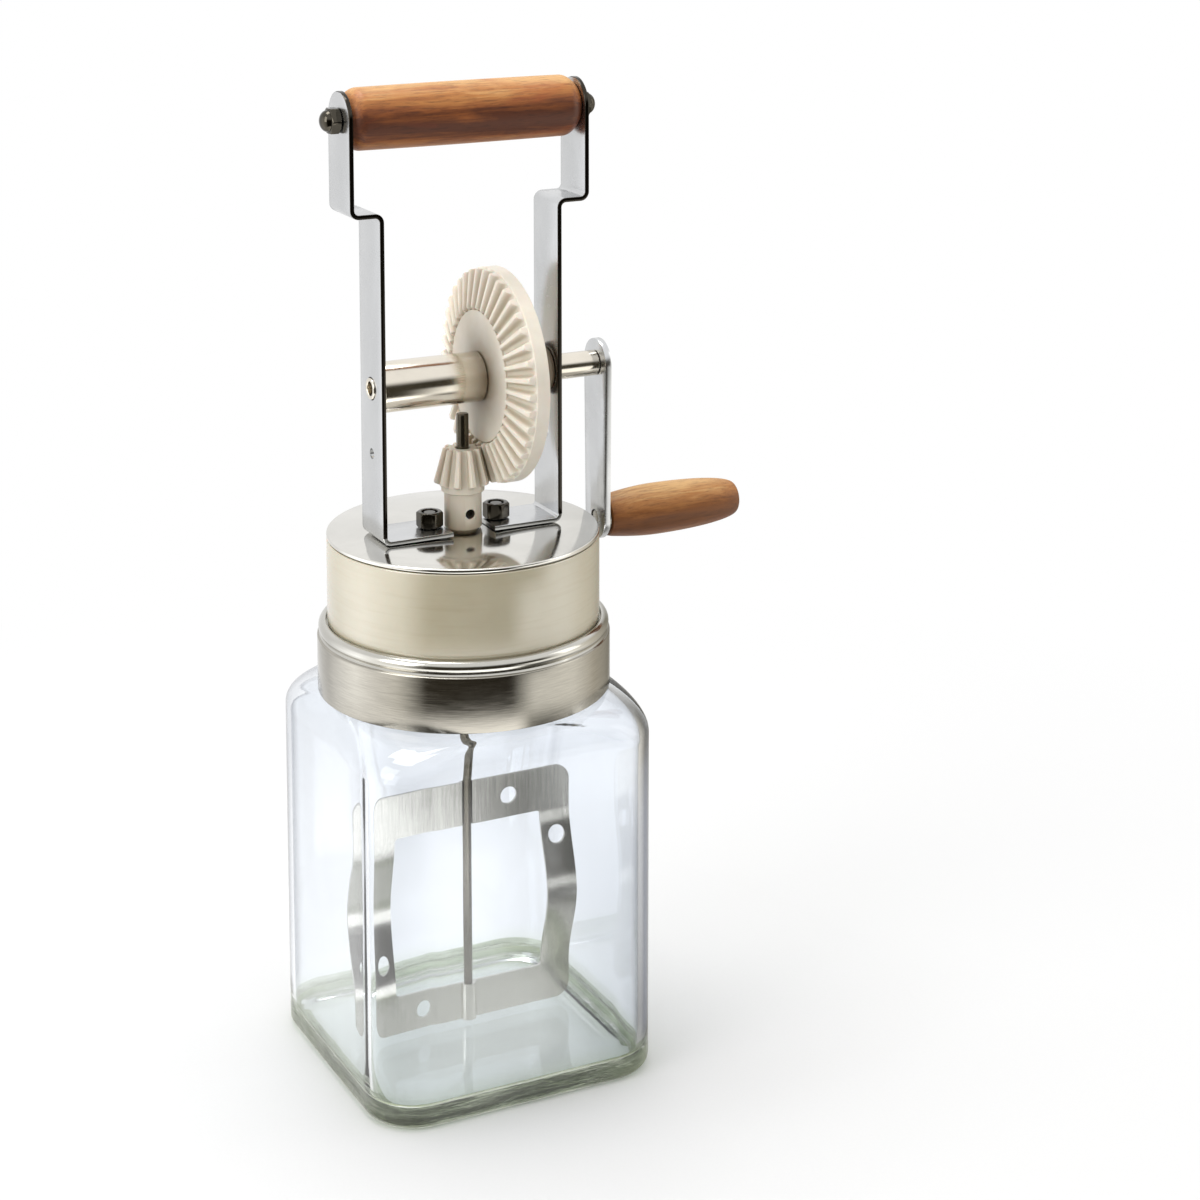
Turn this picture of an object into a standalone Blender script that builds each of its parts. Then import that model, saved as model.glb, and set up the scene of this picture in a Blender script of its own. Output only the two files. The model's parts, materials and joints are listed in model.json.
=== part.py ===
"""Hand butter churn: a square glass jar with a geared, hand cranked paddle in its screw-on head.

Metres, +Z up. The origin is the centre of the jar's underside. The crank's axis runs along X, with the
crank on the +X side, and the paddle turns about Z.
"""

import math

import bmesh
import bpy
from mathutils import Matrix, Vector

# Shared clearances and allowances
SEAT_GAP = 0.0003
RUNNING_GAP = 0.0003
OVERRUN = 0.003
SINK = 0.0006

# Facets of round pieces, by size
LARGE_STEPS = 40
MEDIUM_STEPS = 24
SMALL_STEPS = 16
ARC_STEPS = 4

# Glass jar
JAR_WIDTH = 0.1024
JAR_CORNER_RADIUS = 0.018
JAR_WALL = 0.0035
JAR_FLOOR = 0.0068
JAR_FOOT_ROUND = 0.004
JAR_FLOOR_ROUND = 0.0022
JAR_SIDE_HEIGHT = 0.117
SHOULDER_RISE = 0.012
NECK_RADIUS = 0.0452
NECK_WALL = 0.004
NECK_HEIGHT = 0.0206
RIM_ROUND = 0.0006
CORNER_CROWDING_SHARE = 1.2
SHOULDER_STEPS = 4
FOOT_STEPS = 2

# Thread between jar and band: beads whose crests pass each other by the running gap
NECK_BEAD_RADIUS = 0.0009
LINER_BEAD_RADIUS = 0.00065
THREAD_STANDOUT = 0.0014
THREAD_PITCH = 0.005
THREAD_TURNS = 1.25
THREAD_TOP_DROP = 0.0045
BEAD_POINTS_PER_TURN = 40

# Rim gasket
GASKET_THICKNESS = 0.0011
GASKET_WIDTH = 0.0046

# Strainer drum
DRUM_RADIUS = 0.0444
DRUM_WALL = 0.0008
DRUM_HEIGHT = 0.0299
FLANGE_REACH = 0.0024
SLOT_COUNT = 12
SLOT_WIDTH = 0.004
SLOT_LENGTH = 0.014
SLOT_TOP_DROP = 0.008

# Silicone sleeve
SLEEVE_WALL = 0.0013
SLEEVE_ROUND = 0.0004

# Screw band and its threaded liner
BAND_WALL = 0.0007
BAND_RADIUS = 0.0495
BAND_HEIGHT = 0.0237
BAND_LIP_ROUND = 0.0027
BAND_MOUTH_GAP = 0.0005
BAND_HEM = 0.0005
LINER_WALL = 0.001
LINER_HEIGHT = 0.016

# Top plate
PLATE_THICKNESS = 0.0015
PLATE_EDGE_ROUND = 0.0004

# Uprights
HANDLE_HEIGHT = 0.1415
STRAP_WIDTH = 0.019
STRAP_THICKNESS = 0.0015
STRAP_SPACING_LOWER = 0.0653
STRAP_SPACING_UPPER = 0.0858
STRAP_STEP_HEIGHT = 0.11
FOOT_BEND = 0.0012
STEP_BEND = 0.0016
FOOT_GAP = 0.0152
PILOT_HOLE_RADIUS = 0.0018
PILOT_HOLE_HEIGHT = 0.0296
STRAP_END_STEPS = 6

# Foot bolts, nuts and washers
FOOT_BOLT_RADIUS = 0.0024
FOOT_BOLT_SPACING = 0.0244
FOOT_BOLT_HEAD_RADIUS = 0.0044
FOOT_BOLT_HEAD_HEIGHT = 0.003
FOOT_NUT_FLATS = 0.008
FOOT_NUT_HEIGHT = 0.0052
NUT_CHAMFER = 0.0005
FOOT_WASHER_RADIUS = 0.005
FOOT_WASHER_THICKNESS = 0.001
BOLT_SLOT_WIDTH = 0.001
BOLT_SLOT_DEPTH = 0.0012

# Top grip, its rod and cap nuts
TOP_GRIP_RADIUS = 0.0105
TOP_GRIP_END_RADIUS = 0.0103
TOP_GRIP_ROUND_LENGTH = 0.0048
TOP_GRIP_ROUND_DROP = 0.0028
TOP_GRIP_ROUND_STEPS = 5
HANDLE_ROD_RADIUS = 0.0024
ROD_THREAD_LENGTH = 0.004
CAP_NUT_FLATS = 0.0082
CAP_NUT_HEX = 0.0034
CAP_NUT_DOME = 0.0027
CAP_NUT_DOME_STEPS = 4

# Crank shaft, spacer tube and arm
CRANK_SHAFT_RADIUS = 0.0044
JOURNAL_RADIUS = 0.0036
JOURNAL_STANDOUT = 0.0006
JOURNAL_HOLLOW_RADIUS = 0.0024
JOURNAL_HOLLOW_DEPTH = 0.006
SPACER_RADIUS = 0.0085
ARM_STANDOFF = 0.01705
ARM_THICKNESS = 0.0024
ARM_WIDTH = 0.0168
ARM_GRIP_WIDTH = 0.0148
ARM_LENGTH = 0.0547
NECK_OF_SHAFT_RADIUS = 0.003
RIVET_HEAD_RADIUS = 0.0046
RIVET_HEAD_HEIGHT = 0.0012

# Crank grip, its bolt and washer
GRIP_LENGTH = 0.0508
GRIP_RADIUS = 0.0089
GRIP_ROOT_RADIUS = 0.0071
GRIP_END_RADIUS = 0.005
GRIP_WIDEST_SHARE = 0.38
GRIP_FALL_POWER = 2.2
GRIP_STATIONS = 12
GRIP_EDGE = 0.0008
GRIP_BOLT_RADIUS = 0.0024
GRIP_BOLT_HEAD_RADIUS = 0.004
GRIP_BOLT_HEAD_HEIGHT = 0.0026
GRIP_RECESS_DEPTH = 0.0086
GRIP_WASHER_RADIUS = 0.0062
GRIP_WASHER_THICKNESS = 0.0008

# Bevel gears: both pitch cones meet where the crank's axis crosses the paddle's
GEAR_TEETH = 40
PINION_TEETH = 10
GEAR_PITCH_RADIUS = 0.036
GEAR_INNER_SHARE = 0.63
PINION_INNER_SHARE = 0.655
GEAR_ADDENDUM = 0.0011
GEAR_DEDENDUM = 0.0016
PINION_ADDENDUM = 0.001
PINION_DEDENDUM = 0.0017
TOOTH_THICKNESS = 0.00255
PRESSURE_ANGLE = math.radians(20)
GEAR_RIM_RADIUS = 0.0364
GEAR_PLATE_CLEARANCE = 0.0152
GEAR_RIM_BACK = 0.0155
GEAR_FACE_FRONT = 0.006
GEAR_HUB_RADIUS = 0.009
GEAR_WASHER_RADIUS = 0.0075
GEAR_WASHER_THICKNESS = 0.001
PINION_HUB_RADIUS = 0.0063
PINION_COLLAR_RADIUS = 0.0073
PINION_COLLAR_LENGTH = 0.0022
GRUB_RADIUS = 0.0014
GRUB_SOCKET_RADIUS = 0.0008
GRUB_SOCKET_DEPTH = 0.0012
GRUB_RECESS = 0.0003
PINION_GRUB_HEIGHT_SHARE = 0.12
GEAR_GRUB_SETBACK = 0.006

# Paddle shaft, its bush and retaining ring
PADDLE_SHAFT_RADIUS = 0.0021
PADDLE_ROD_RADIUS = 0.0015
PADDLE_SHAFT_TOP = 0.0121
SHAFT_TIP_CHAMFER = 0.0004
BUSH_RADIUS = 0.005
BUSH_FLANGE_RADIUS = 0.0066
BUSH_FLANGE_THICKNESS = 0.0014
BUSH_PROUD = 0.0003
RETAINING_RING_RADIUS = 0.0042
RETAINING_RING_THICKNESS = 0.0012
SHAFT_STEP_DROP = 0.0024

# Paddle frame
PADDLE_WIDTH = 0.077
PADDLE_TOP = 0.094
PADDLE_FLOOR_GAP = 0.002
PADDLE_SHEET = 0.001
PADDLE_TOP_BAR = 0.0155
PADDLE_BOTTOM_BAR = 0.013
PADDLE_SIDE_BAR = 0.011
PADDLE_OUTER_CORNER = 0.0055
PADDLE_WINDOW_CORNER = 0.0015
PADDLE_BOW = 0.0065
PADDLE_HOLE_RADIUS = 0.0031
BAR_HOLE_REACH = 0.0155
SIDE_HOLE_DROP = 0.0245
CHANNEL_STEPS = 6
BOW_ROWS = 12
WINDOW_CORNER_STEPS = 2
BOW_BLEND = 0.006

# Heights that follow from the sizes above
RIM_Z = JAR_SIDE_HEIGHT + SHOULDER_RISE + NECK_HEIGHT
GASKET_Z = RIM_Z + SEAT_GAP
FLANGE_Z = GASKET_Z + GASKET_THICKNESS + SEAT_GAP
DRUM_TOP_Z = FLANGE_Z + DRUM_HEIGHT
PLATE_Z = DRUM_TOP_Z + SEAT_GAP
PLATE_TOP_Z = PLATE_Z + PLATE_THICKNESS
CRANK_HEIGHT = GEAR_RIM_RADIUS + GEAR_PLATE_CLEARANCE
CRANK_Z = PLATE_TOP_Z + CRANK_HEIGHT
HANDLE_Z = PLATE_TOP_Z + HANDLE_HEIGHT
SLEEVE_RADIUS = DRUM_RADIUS + SEAT_GAP + SLEEVE_WALL
PLATE_RADIUS = SLEEVE_RADIUS
BAND_TOP_Z = FLANGE_Z + DRUM_WALL + SEAT_GAP + BAND_WALL
BAND_BOTTOM_Z = BAND_TOP_Z - BAND_HEIGHT
PADDLE_BOTTOM_Z = JAR_FLOOR + PADDLE_FLOOR_GAP
FOOT_Z = PLATE_TOP_Z + SEAT_GAP
BOLT_HEAD_Z = DRUM_TOP_Z - DRUM_WALL - 2 * SEAT_GAP - FOOT_WASHER_THICKNESS

# Places along X that follow from the sizes above
STRAP_OUTER_X = STRAP_SPACING_LOWER / 2
STRAP_INNER_X = STRAP_OUTER_X - STRAP_THICKNESS
HANDLE_OUTER_X = STRAP_SPACING_UPPER / 2
HANDLE_INNER_X = HANDLE_OUTER_X - STRAP_THICKNESS
ARM_X = STRAP_OUTER_X + ARM_STANDOFF
ARM_OUTER_X = ARM_X + ARM_THICKNESS
GRIP_WASHER_X = ARM_OUTER_X + SEAT_GAP
GRIP_X = GRIP_WASHER_X + GRIP_WASHER_THICKNESS + SEAT_GAP
GRIP_AXIS_Z = CRANK_Z - ARM_LENGTH
GEAR_WASHER_X = STRAP_INNER_X - SEAT_GAP - GEAR_WASHER_THICKNESS
GEAR_HUB_BACK = GEAR_WASHER_X - SEAT_GAP
BOLT_X = FOOT_BOLT_SPACING / 2

PITCH_SLOPE = PINION_TEETH / GEAR_TEETH


def new_collection(name):
    collection = bpy.data.collections.new(name)
    bpy.context.scene.collection.children.link(collection)
    return collection


def clear_scene():
    for thing in list(bpy.data.objects):
        bpy.data.objects.remove(thing, do_unlink=True)


def make_material(name, colour, roughness, metallic=0.0, transmission=0.0):
    material = bpy.data.materials.new(name)
    material.use_nodes = True
    shader = material.node_tree.nodes["Principled BSDF"]
    shader.inputs["Base Color"].default_value = (*colour, 1.0)
    shader.inputs["Roughness"].default_value = roughness
    shader.inputs["Metallic"].default_value = metallic
    shader.inputs["Transmission Weight"].default_value = transmission
    material.diffuse_color = (*colour, 1.0)
    return material


def add_object(name, data, material, location=(0, 0, 0), rotation=(0, 0, 0)):
    """Adds a named piece of the churn."""
    piece = bpy.data.objects.new(name, data)
    piece.location = location
    piece.rotation_euler = rotation
    if material:
        data.materials.append(material)
    PIECES.objects.link(piece)
    return piece


def make_helper(piece):
    """Turns a piece into a shape that only cuts, or is joined to, another."""
    PIECES.objects.unlink(piece)
    HELPERS.objects.link(piece)
    piece.hide_render = True
    piece.display_type = "WIRE"
    return piece


def combine(piece, helper, operation="DIFFERENCE"):
    boolean = piece.modifiers.new(helper.name, "BOOLEAN")
    boolean.operation = operation
    boolean.solver = "EXACT"
    boolean.object = helper


def shade_smooth(mesh):
    mesh.shade_smooth()
    mesh.set_sharp_from_angle(angle=math.radians(35))


def closed_mesh(name, build):
    """A mesh made by build(bm), welded and facing out."""
    bm = bmesh.new()
    build(bm)
    bmesh.ops.recalc_face_normals(bm, faces=bm.faces)
    mesh = bpy.data.meshes.new(name)
    bm.to_mesh(mesh)
    bm.free()
    return mesh


def along_x():
    """Rotation that lays a piece's own Z axis along +X."""
    return (0, math.radians(90), 0)


def arc(centre, radius, start, end, steps):
    """Points of an arc in a plane, angles in degrees, both ends included."""
    points = []
    for step in range(steps + 1):
        angle = math.radians(start + (end - start) * step / steps)
        points.append((centre[0] + radius * math.cos(angle), centre[1] + radius * math.sin(angle)))
    return points


def rounded_path(corners, radii, steps=ARC_STEPS):
    """An open path through corners, each inner corner rounded to its radius."""
    points = [corners[0]]
    for index in range(1, len(corners) - 1):
        corner = Vector(corners[index])
        back = (Vector(corners[index - 1]) - corner).normalized()
        ahead = (Vector(corners[index + 1]) - corner).normalized()
        half_angle = back.angle(ahead) / 2
        radius = radii[index - 1]
        reach = radius / math.tan(half_angle)
        centre = corner + (back + ahead).normalized() * radius / math.sin(half_angle)
        first = corner + back * reach - centre
        last = corner + ahead * reach - centre
        turn = first.angle_signed(last)
        start = math.atan2(first.y, first.x)
        for step in range(steps + 1):
            angle = start - turn * step / steps
            points.append((centre.x + radius * math.cos(angle), centre.y + radius * math.sin(angle)))
    points.append(corners[-1])
    return points


def rounded_rectangle(width, height, radius, centre, steps=ARC_STEPS):
    """A closed outline with four round corners, counter-clockwise."""
    reach_x = width / 2 - radius
    reach_y = height / 2 - radius
    points = []
    for quarter, (side_x, side_y) in enumerate(((1, 1), (-1, 1), (-1, -1), (1, -1))):
        corner = (centre[0] + side_x * reach_x, centre[1] + side_y * reach_y)
        points += arc(corner, radius, 90 * quarter, 90 * quarter + 90, steps)
    return points


def turned(name, profile, material, steps, location=(0, 0, 0), rotation=(0, 0, 0), closed=True):
    """A profile of (radius, height) points, down its outer side, turned about the piece's own Z axis.

    A profile that starts and ends on the axis is open, and its end points weld there.
    """
    mesh = bpy.data.meshes.new(name)
    count = len(profile)
    edges = [(index, index + 1) for index in range(count - 1)]
    if closed:
        edges.append((count - 1, 0))
    mesh.from_pydata([(radius, 0, height) for radius, height in profile], edges, [])
    piece = add_object(name, mesh, material, location, rotation)
    screw = piece.modifiers.new("Turn", "SCREW")
    screw.axis = "Z"
    screw.angle = math.radians(360)
    screw.steps = steps
    screw.render_steps = steps
    screw.use_merge_vertices = True
    screw.merge_threshold = 0.00002
    screw.use_smooth_shade = True
    return piece


def ring_profile(inner, outer, bottom, top, edge=0.0):
    """A rectangular ring section, with its four edges cut off by edge."""
    if not edge:
        return [(outer, top), (outer, bottom), (inner, bottom), (inner, top)]
    return [
        (outer - edge, top),
        (outer, top - edge),
        (outer, bottom + edge),
        (outer - edge, bottom),
        (inner + edge, bottom),
        (inner, bottom + edge),
        (inner, top - edge),
        (inner + edge, top),
    ]


def outline_piece(name, outline, thickness, material, location=(0, 0, 0), rotation=(0, 0, 0)):
    """A flat outline in the piece's own XY plane, thick evenly to both sides, as a welded mesh."""
    curve = bpy.data.curves.new(name, "CURVE")
    curve.dimensions = "2D"
    curve.fill_mode = "BOTH"
    curve.extrude = thickness / 2
    spline = curve.splines.new("POLY")
    spline.points.add(len(outline) - 1)
    spline.use_cyclic_u = True
    for point, (x, y) in zip(spline.points, outline):
        point.co = (x, y, 0, 1)
    return as_mesh_piece(name, curve, material, location, rotation)


def bead_piece(name, route, radius):
    """A bead of diamond section with closed ends along a route, as a welded mesh."""
    curve = bpy.data.curves.new(name, "CURVE")
    curve.dimensions = "3D"
    curve.bevel_depth = radius
    curve.bevel_resolution = 0
    curve.use_fill_caps = True
    spline = curve.splines.new("POLY")
    spline.points.add(len(route) - 1)
    for point, place in zip(spline.points, route):
        point.co = (*place, 1)
    return as_mesh_piece(name, curve)


def as_mesh_piece(name, curve, material=None, location=(0, 0, 0), rotation=(0, 0, 0)):
    """Makes a curve a mesh with its caps welded, so that it can be cut or joined."""
    holder = bpy.data.objects.new(name + "_curve", curve)
    PIECES.objects.link(holder)
    bpy.context.view_layer.update()
    shape = holder.evaluated_get(bpy.context.evaluated_depsgraph_get())
    mesh = bpy.data.meshes.new_from_object(shape)
    bm = bmesh.new()
    bm.from_mesh(mesh)
    bmesh.ops.remove_doubles(bm, verts=bm.verts, dist=0.000001)
    bmesh.ops.recalc_face_normals(bm, faces=bm.faces)
    bm.to_mesh(mesh)
    bm.free()
    bpy.data.objects.remove(holder, do_unlink=True)
    return add_object(name, mesh, material, location, rotation)


def cylinder(name, radius, length, centre, steps, material=None, rotation=(0, 0, 0), chamfer=0.0):
    """A cylinder along its own Z axis, centred, with an optional chamfer on its end edges."""

    def build(bm):
        bmesh.ops.create_cone(
            bm, cap_ends=True, segments=steps, radius1=radius, radius2=radius, depth=length
        )
        if chamfer:
            rims = [edge for edge in bm.edges if abs(edge.verts[0].co.z - edge.verts[1].co.z) < chamfer]
            bmesh.ops.bevel(bm, geom=rims, offset=chamfer, segments=1, affect="EDGES")

    mesh = closed_mesh(name, build)
    shade_smooth(mesh)
    return add_object(name, mesh, material, centre, rotation)


def drill(piece, name, radius, length, centre, rotation=(0, 0, 0), steps=SMALL_STEPS):
    """A round hole through a piece, along the hole's own Z axis."""
    combine(piece, make_helper(cylinder(name, radius, length, centre, steps, None, rotation)))


def rounded_square_point(angle, half_width, corner):
    """The point at an angle on a square with round corners."""
    x = abs(math.cos(angle))
    y = abs(math.sin(angle))
    straight = half_width - corner
    reach = half_width / max(x, y)
    if reach * min(x, y) > straight:
        along = straight * (x + y)
        reach = along + math.sqrt(max(along * along - 2 * straight * straight + corner * corner, 0))
    return reach * math.cos(angle), reach * math.sin(angle)


def jar_ring(bm, half_width, corner, height):
    """One ring of jar vertices, crowded towards the corners where the section is square."""
    crowding = CORNER_CROWDING_SHARE * (1 - corner / half_width)
    ring = []
    for index in range(LARGE_STEPS):
        even = math.radians(360) * index / LARGE_STEPS
        angle = even + crowding / 4 * math.sin(4 * even)
        x, y = rounded_square_point(angle, half_width, corner)
        ring.append(bm.verts.new((x, y, height)))
    return ring


def shoulder_sections(half_width, corner, neck_radius, start, rise):
    """Sections from the square body up to the round neck, along a quarter of an ellipse."""
    sections = []
    for step in range(SHOULDER_STEPS + 1):
        angle = math.radians(90) * step / SHOULDER_STEPS
        inward = 1 - math.cos(angle)
        width = half_width + (neck_radius - half_width) * inward
        sections.append((width, corner + (neck_radius - corner) * inward, start + rise * math.sin(angle)))
    return sections


def foot_sections(half_width, corner, round_radius, floor):
    """Sections round the edge between a flat floor and the upright walls."""
    sections = []
    for step in range(FOOT_STEPS + 1):
        angle = math.radians(90) * step / FOOT_STEPS
        inset = round_radius * (1 - math.sin(angle))
        sections.append((half_width - inset, corner - inset, floor + round_radius * (1 - math.cos(angle))))
    return sections


def glass_jar(material):
    half = JAR_WIDTH / 2
    inner_half = half - JAR_WALL
    inner_corner = JAR_CORNER_RADIUS - JAR_WALL
    bore = NECK_RADIUS - NECK_WALL
    inner_start = JAR_SIDE_HEIGHT - JAR_WALL / 2
    inner_rise = SHOULDER_RISE - JAR_WALL / 2
    lip = NECK_RADIUS - RIM_ROUND
    inner_lip = bore + RIM_ROUND
    sections = foot_sections(half, JAR_CORNER_RADIUS, JAR_FOOT_ROUND, 0)
    sections += shoulder_sections(half, JAR_CORNER_RADIUS, NECK_RADIUS, JAR_SIDE_HEIGHT, SHOULDER_RISE)
    sections += [(NECK_RADIUS, NECK_RADIUS, RIM_Z - RIM_ROUND), (lip, lip, RIM_Z)]
    sections += [(inner_lip, inner_lip, RIM_Z), (bore, bore, RIM_Z - RIM_ROUND)]
    sections += reversed(shoulder_sections(inner_half, inner_corner, bore, inner_start, inner_rise))
    sections += reversed(foot_sections(inner_half, inner_corner, JAR_FLOOR_ROUND, JAR_FLOOR))

    def build(bm):
        rings = [jar_ring(bm, *section) for section in sections]
        bm.faces.new(rings[0])
        bm.faces.new(rings[-1])
        for lower, upper in zip(rings, rings[1:]):
            for index in range(LARGE_STEPS):
                following = (index + 1) % LARGE_STEPS
                bm.faces.new((lower[index], lower[following], upper[following], upper[index]))

    mesh = closed_mesh("glass_jar", build)
    shade_smooth(mesh)
    jar = add_object("glass_jar", mesh, material)
    route = thread_route(NECK_RADIUS + THREAD_STANDOUT - NECK_BEAD_RADIUS)
    bead = bead_piece("neck_thread", route, NECK_BEAD_RADIUS)
    combine(jar, make_helper(bead), "UNION")
    return jar


def thread_route(radius):
    """A helix about Z that falls clockwise from just under the rim."""
    count = round(BEAD_POINTS_PER_TURN * THREAD_TURNS)
    route = []
    for index in range(count + 1):
        turns = THREAD_TURNS * index / count
        angle = math.radians(360) * turns
        height = RIM_Z - THREAD_TOP_DROP - THREAD_PITCH * turns
        route.append((radius * math.cos(angle), -radius * math.sin(angle), height))
    return route


def rim_gasket(material):
    outer = DRUM_RADIUS + FLANGE_REACH - SEAT_GAP
    profile = ring_profile(outer - GASKET_WIDTH, outer, GASKET_Z, GASKET_Z + GASKET_THICKNESS)
    return turned("rim_gasket", profile, material, LARGE_STEPS)


def strainer_drum(material):
    bore = BUSH_RADIUS + SEAT_GAP
    inner = DRUM_RADIUS - DRUM_WALL
    flange = DRUM_RADIUS + FLANGE_REACH
    profile = [
        (bore, DRUM_TOP_Z),
        (DRUM_RADIUS, DRUM_TOP_Z),
        (DRUM_RADIUS, FLANGE_Z + DRUM_WALL),
        (flange, FLANGE_Z + DRUM_WALL),
        (flange, FLANGE_Z),
        (inner, FLANGE_Z),
        (inner, DRUM_TOP_Z - DRUM_WALL),
        (bore, DRUM_TOP_Z - DRUM_WALL),
    ]
    drum = turned("strainer_drum", profile, material, LARGE_STEPS)
    combine(drum, make_helper(slot_cutters()))
    for side in (-1, 1):
        centre = (side * BOLT_X, 0, DRUM_TOP_Z - DRUM_WALL / 2)
        drill(drum, f"drum_bolt_hole_{side}", FOOT_BOLT_RADIUS + SEAT_GAP, DRUM_WALL + OVERRUN, centre)
    return drum


def slot_cutters():
    """A ring of upright blocks, each crossing the drum's wall once."""
    centre_z = DRUM_TOP_Z - SLOT_TOP_DROP - SLOT_LENGTH / 2
    depth = DRUM_WALL + OVERRUN

    def build(bm):
        for index in range(SLOT_COUNT):
            block = bmesh.ops.create_cube(bm, size=1.0)["verts"]
            bmesh.ops.scale(bm, verts=block, vec=(depth, SLOT_WIDTH, SLOT_LENGTH))
            bmesh.ops.translate(bm, verts=block, vec=(DRUM_RADIUS - DRUM_WALL / 2, 0, centre_z))
            turn = Matrix.Rotation(math.radians(360) * (index + 0.5) / SLOT_COUNT, 3, "Z")
            bmesh.ops.rotate(bm, verts=block, cent=(0, 0, 0), matrix=turn)

    return add_object("drum_slots", closed_mesh("drum_slots", build), None)


def silicone_sleeve(material):
    inner = DRUM_RADIUS + SEAT_GAP
    bottom = FLANGE_Z + DRUM_WALL + SEAT_GAP
    top = DRUM_TOP_Z
    profile = ring_profile(inner, SLEEVE_RADIUS, bottom, top, SLEEVE_ROUND)
    return turned("silicone_sleeve", profile, material, LARGE_STEPS)


def screw_band(material):
    """A straight skirt, hemmed at the bottom, whose top rolls inwards to a mouth round the sleeve."""
    mouth = SLEEVE_RADIUS + BAND_MOUTH_GAP
    centre = (BAND_RADIUS - BAND_LIP_ROUND, BAND_TOP_Z - BAND_LIP_ROUND)
    profile = [(mouth, BAND_TOP_Z)]
    profile += arc(centre, BAND_LIP_ROUND, 90, 0, ARC_STEPS)
    profile += [(BAND_RADIUS, BAND_BOTTOM_Z + BAND_HEM), (BAND_RADIUS - BAND_HEM, BAND_BOTTOM_Z)]
    profile += [(BAND_RADIUS - BAND_WALL, BAND_BOTTOM_Z)]
    profile += arc(centre, BAND_LIP_ROUND - BAND_WALL, 0, 90, ARC_STEPS)
    profile += [(mouth, BAND_TOP_Z - BAND_WALL)]
    return turned("screw_band", profile, material, LARGE_STEPS)


def band_liner(material):
    outer = BAND_RADIUS - BAND_WALL - SEAT_GAP
    bottom = BAND_BOTTOM_Z + BAND_HEM
    profile = ring_profile(outer - LINER_WALL, outer, bottom, bottom + LINER_HEIGHT)
    liner = turned("band_liner", profile, material, LARGE_STEPS)
    route = thread_route(NECK_RADIUS + THREAD_STANDOUT + RUNNING_GAP + LINER_BEAD_RADIUS)
    bead = bead_piece("liner_thread", route, LINER_BEAD_RADIUS)
    combine(liner, make_helper(bead), "UNION")
    return liner


def top_plate(material):
    bore = BUSH_RADIUS + SEAT_GAP
    profile = ring_profile(bore, PLATE_RADIUS, PLATE_Z, PLATE_TOP_Z, PLATE_EDGE_ROUND)
    plate = turned("top_plate", profile, material, LARGE_STEPS)
    for side in (-1, 1):
        centre = (side * BOLT_X, 0, PLATE_Z + PLATE_THICKNESS / 2)
        reach = PLATE_THICKNESS + OVERRUN
        drill(plate, f"plate_bolt_hole_{side}", FOOT_BOLT_RADIUS + SEAT_GAP, reach, centre)
    return plate


def strap_rows(side):
    """Rows (x, z, half width) of a strap's middle surface, from the end of its foot to its round top."""
    half_thickness = STRAP_THICKNESS / 2
    foot_z = FOOT_Z + half_thickness
    lower_x = STRAP_OUTER_X - half_thickness
    upper_x = HANDLE_OUTER_X - half_thickness
    step_z = PLATE_TOP_Z + STRAP_STEP_HEIGHT + half_thickness
    corners = [(FOOT_GAP / 2, foot_z), (lower_x, foot_z), (lower_x, step_z)]
    corners += [(upper_x, step_z), (upper_x, HANDLE_Z)]
    step_radius = STEP_BEND + half_thickness
    path = rounded_path(corners, (FOOT_BEND + half_thickness, step_radius, step_radius))
    rows = [(side * x, z, STRAP_WIDTH / 2) for x, z in path]
    for step in range(1, STRAP_END_STEPS):
        angle = math.radians(90) * step / STRAP_END_STEPS
        reach = STRAP_WIDTH / 2 * math.cos(angle)
        rows.append((side * upper_x, HANDLE_Z + STRAP_WIDTH / 2 * math.sin(angle), reach))
    return rows


def upright(name, side, shaft_radius, material):
    """A flat strap bent into a foot at the bottom and stepped outwards under the grip."""
    rows = strap_rows(side)

    def build(bm):
        pairs = [(bm.verts.new((x, -half, z)), bm.verts.new((x, half, z))) for x, z, half in rows]
        for lower, upper in zip(pairs, pairs[1:]):
            bm.faces.new((lower[0], lower[1], upper[1], upper[0]))

    mesh = closed_mesh(name, build)
    shade_smooth(mesh)
    strap = add_object(name, mesh, material)
    solidify = strap.modifiers.new("Thickness", "SOLIDIFY")
    solidify.thickness = STRAP_THICKNESS
    solidify.offset = 0
    solidify.use_even_offset = True
    reach = STRAP_THICKNESS + OVERRUN
    middle = side * (STRAP_OUTER_X - STRAP_THICKNESS / 2)
    shaft_centre = (middle, 0, CRANK_Z)
    pilot_centre = (middle, 0, PLATE_TOP_Z + PILOT_HOLE_HEIGHT)
    rod_centre = (side * (HANDLE_OUTER_X - STRAP_THICKNESS / 2), 0, HANDLE_Z)
    foot_centre = (side * BOLT_X, 0, FOOT_Z + STRAP_THICKNESS / 2)
    shaft_bore = shaft_radius + RUNNING_GAP
    drill(strap, name + "_shaft_hole", shaft_bore, reach, shaft_centre, along_x(), MEDIUM_STEPS)
    drill(strap, name + "_pilot_hole", PILOT_HOLE_RADIUS, reach, pilot_centre, along_x())
    drill(strap, name + "_rod_hole", HANDLE_ROD_RADIUS + SEAT_GAP, reach, rod_centre, along_x())
    drill(strap, name + "_foot_hole", FOOT_BOLT_RADIUS + SEAT_GAP, reach, foot_centre)
    return strap


def hex_radius(flats):
    """Corner radius of a hexagon, from its width across flats."""
    return flats / 2 / math.cos(math.radians(30))


def hex_block(name, flats, height, centre, material, rotation=(0, 0, 0)):
    return cylinder(name, hex_radius(flats), height, centre, 6, material, rotation, NUT_CHAMFER)


def slot_block(name, size, centre):
    """A block centred where a screwdriver's slot is cut."""

    def build(bm):
        block = bmesh.ops.create_cube(bm, size=1.0)["verts"]
        bmesh.ops.scale(bm, verts=block, vec=size)

    return make_helper(add_object(name, closed_mesh(name, build), None, centre))


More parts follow.
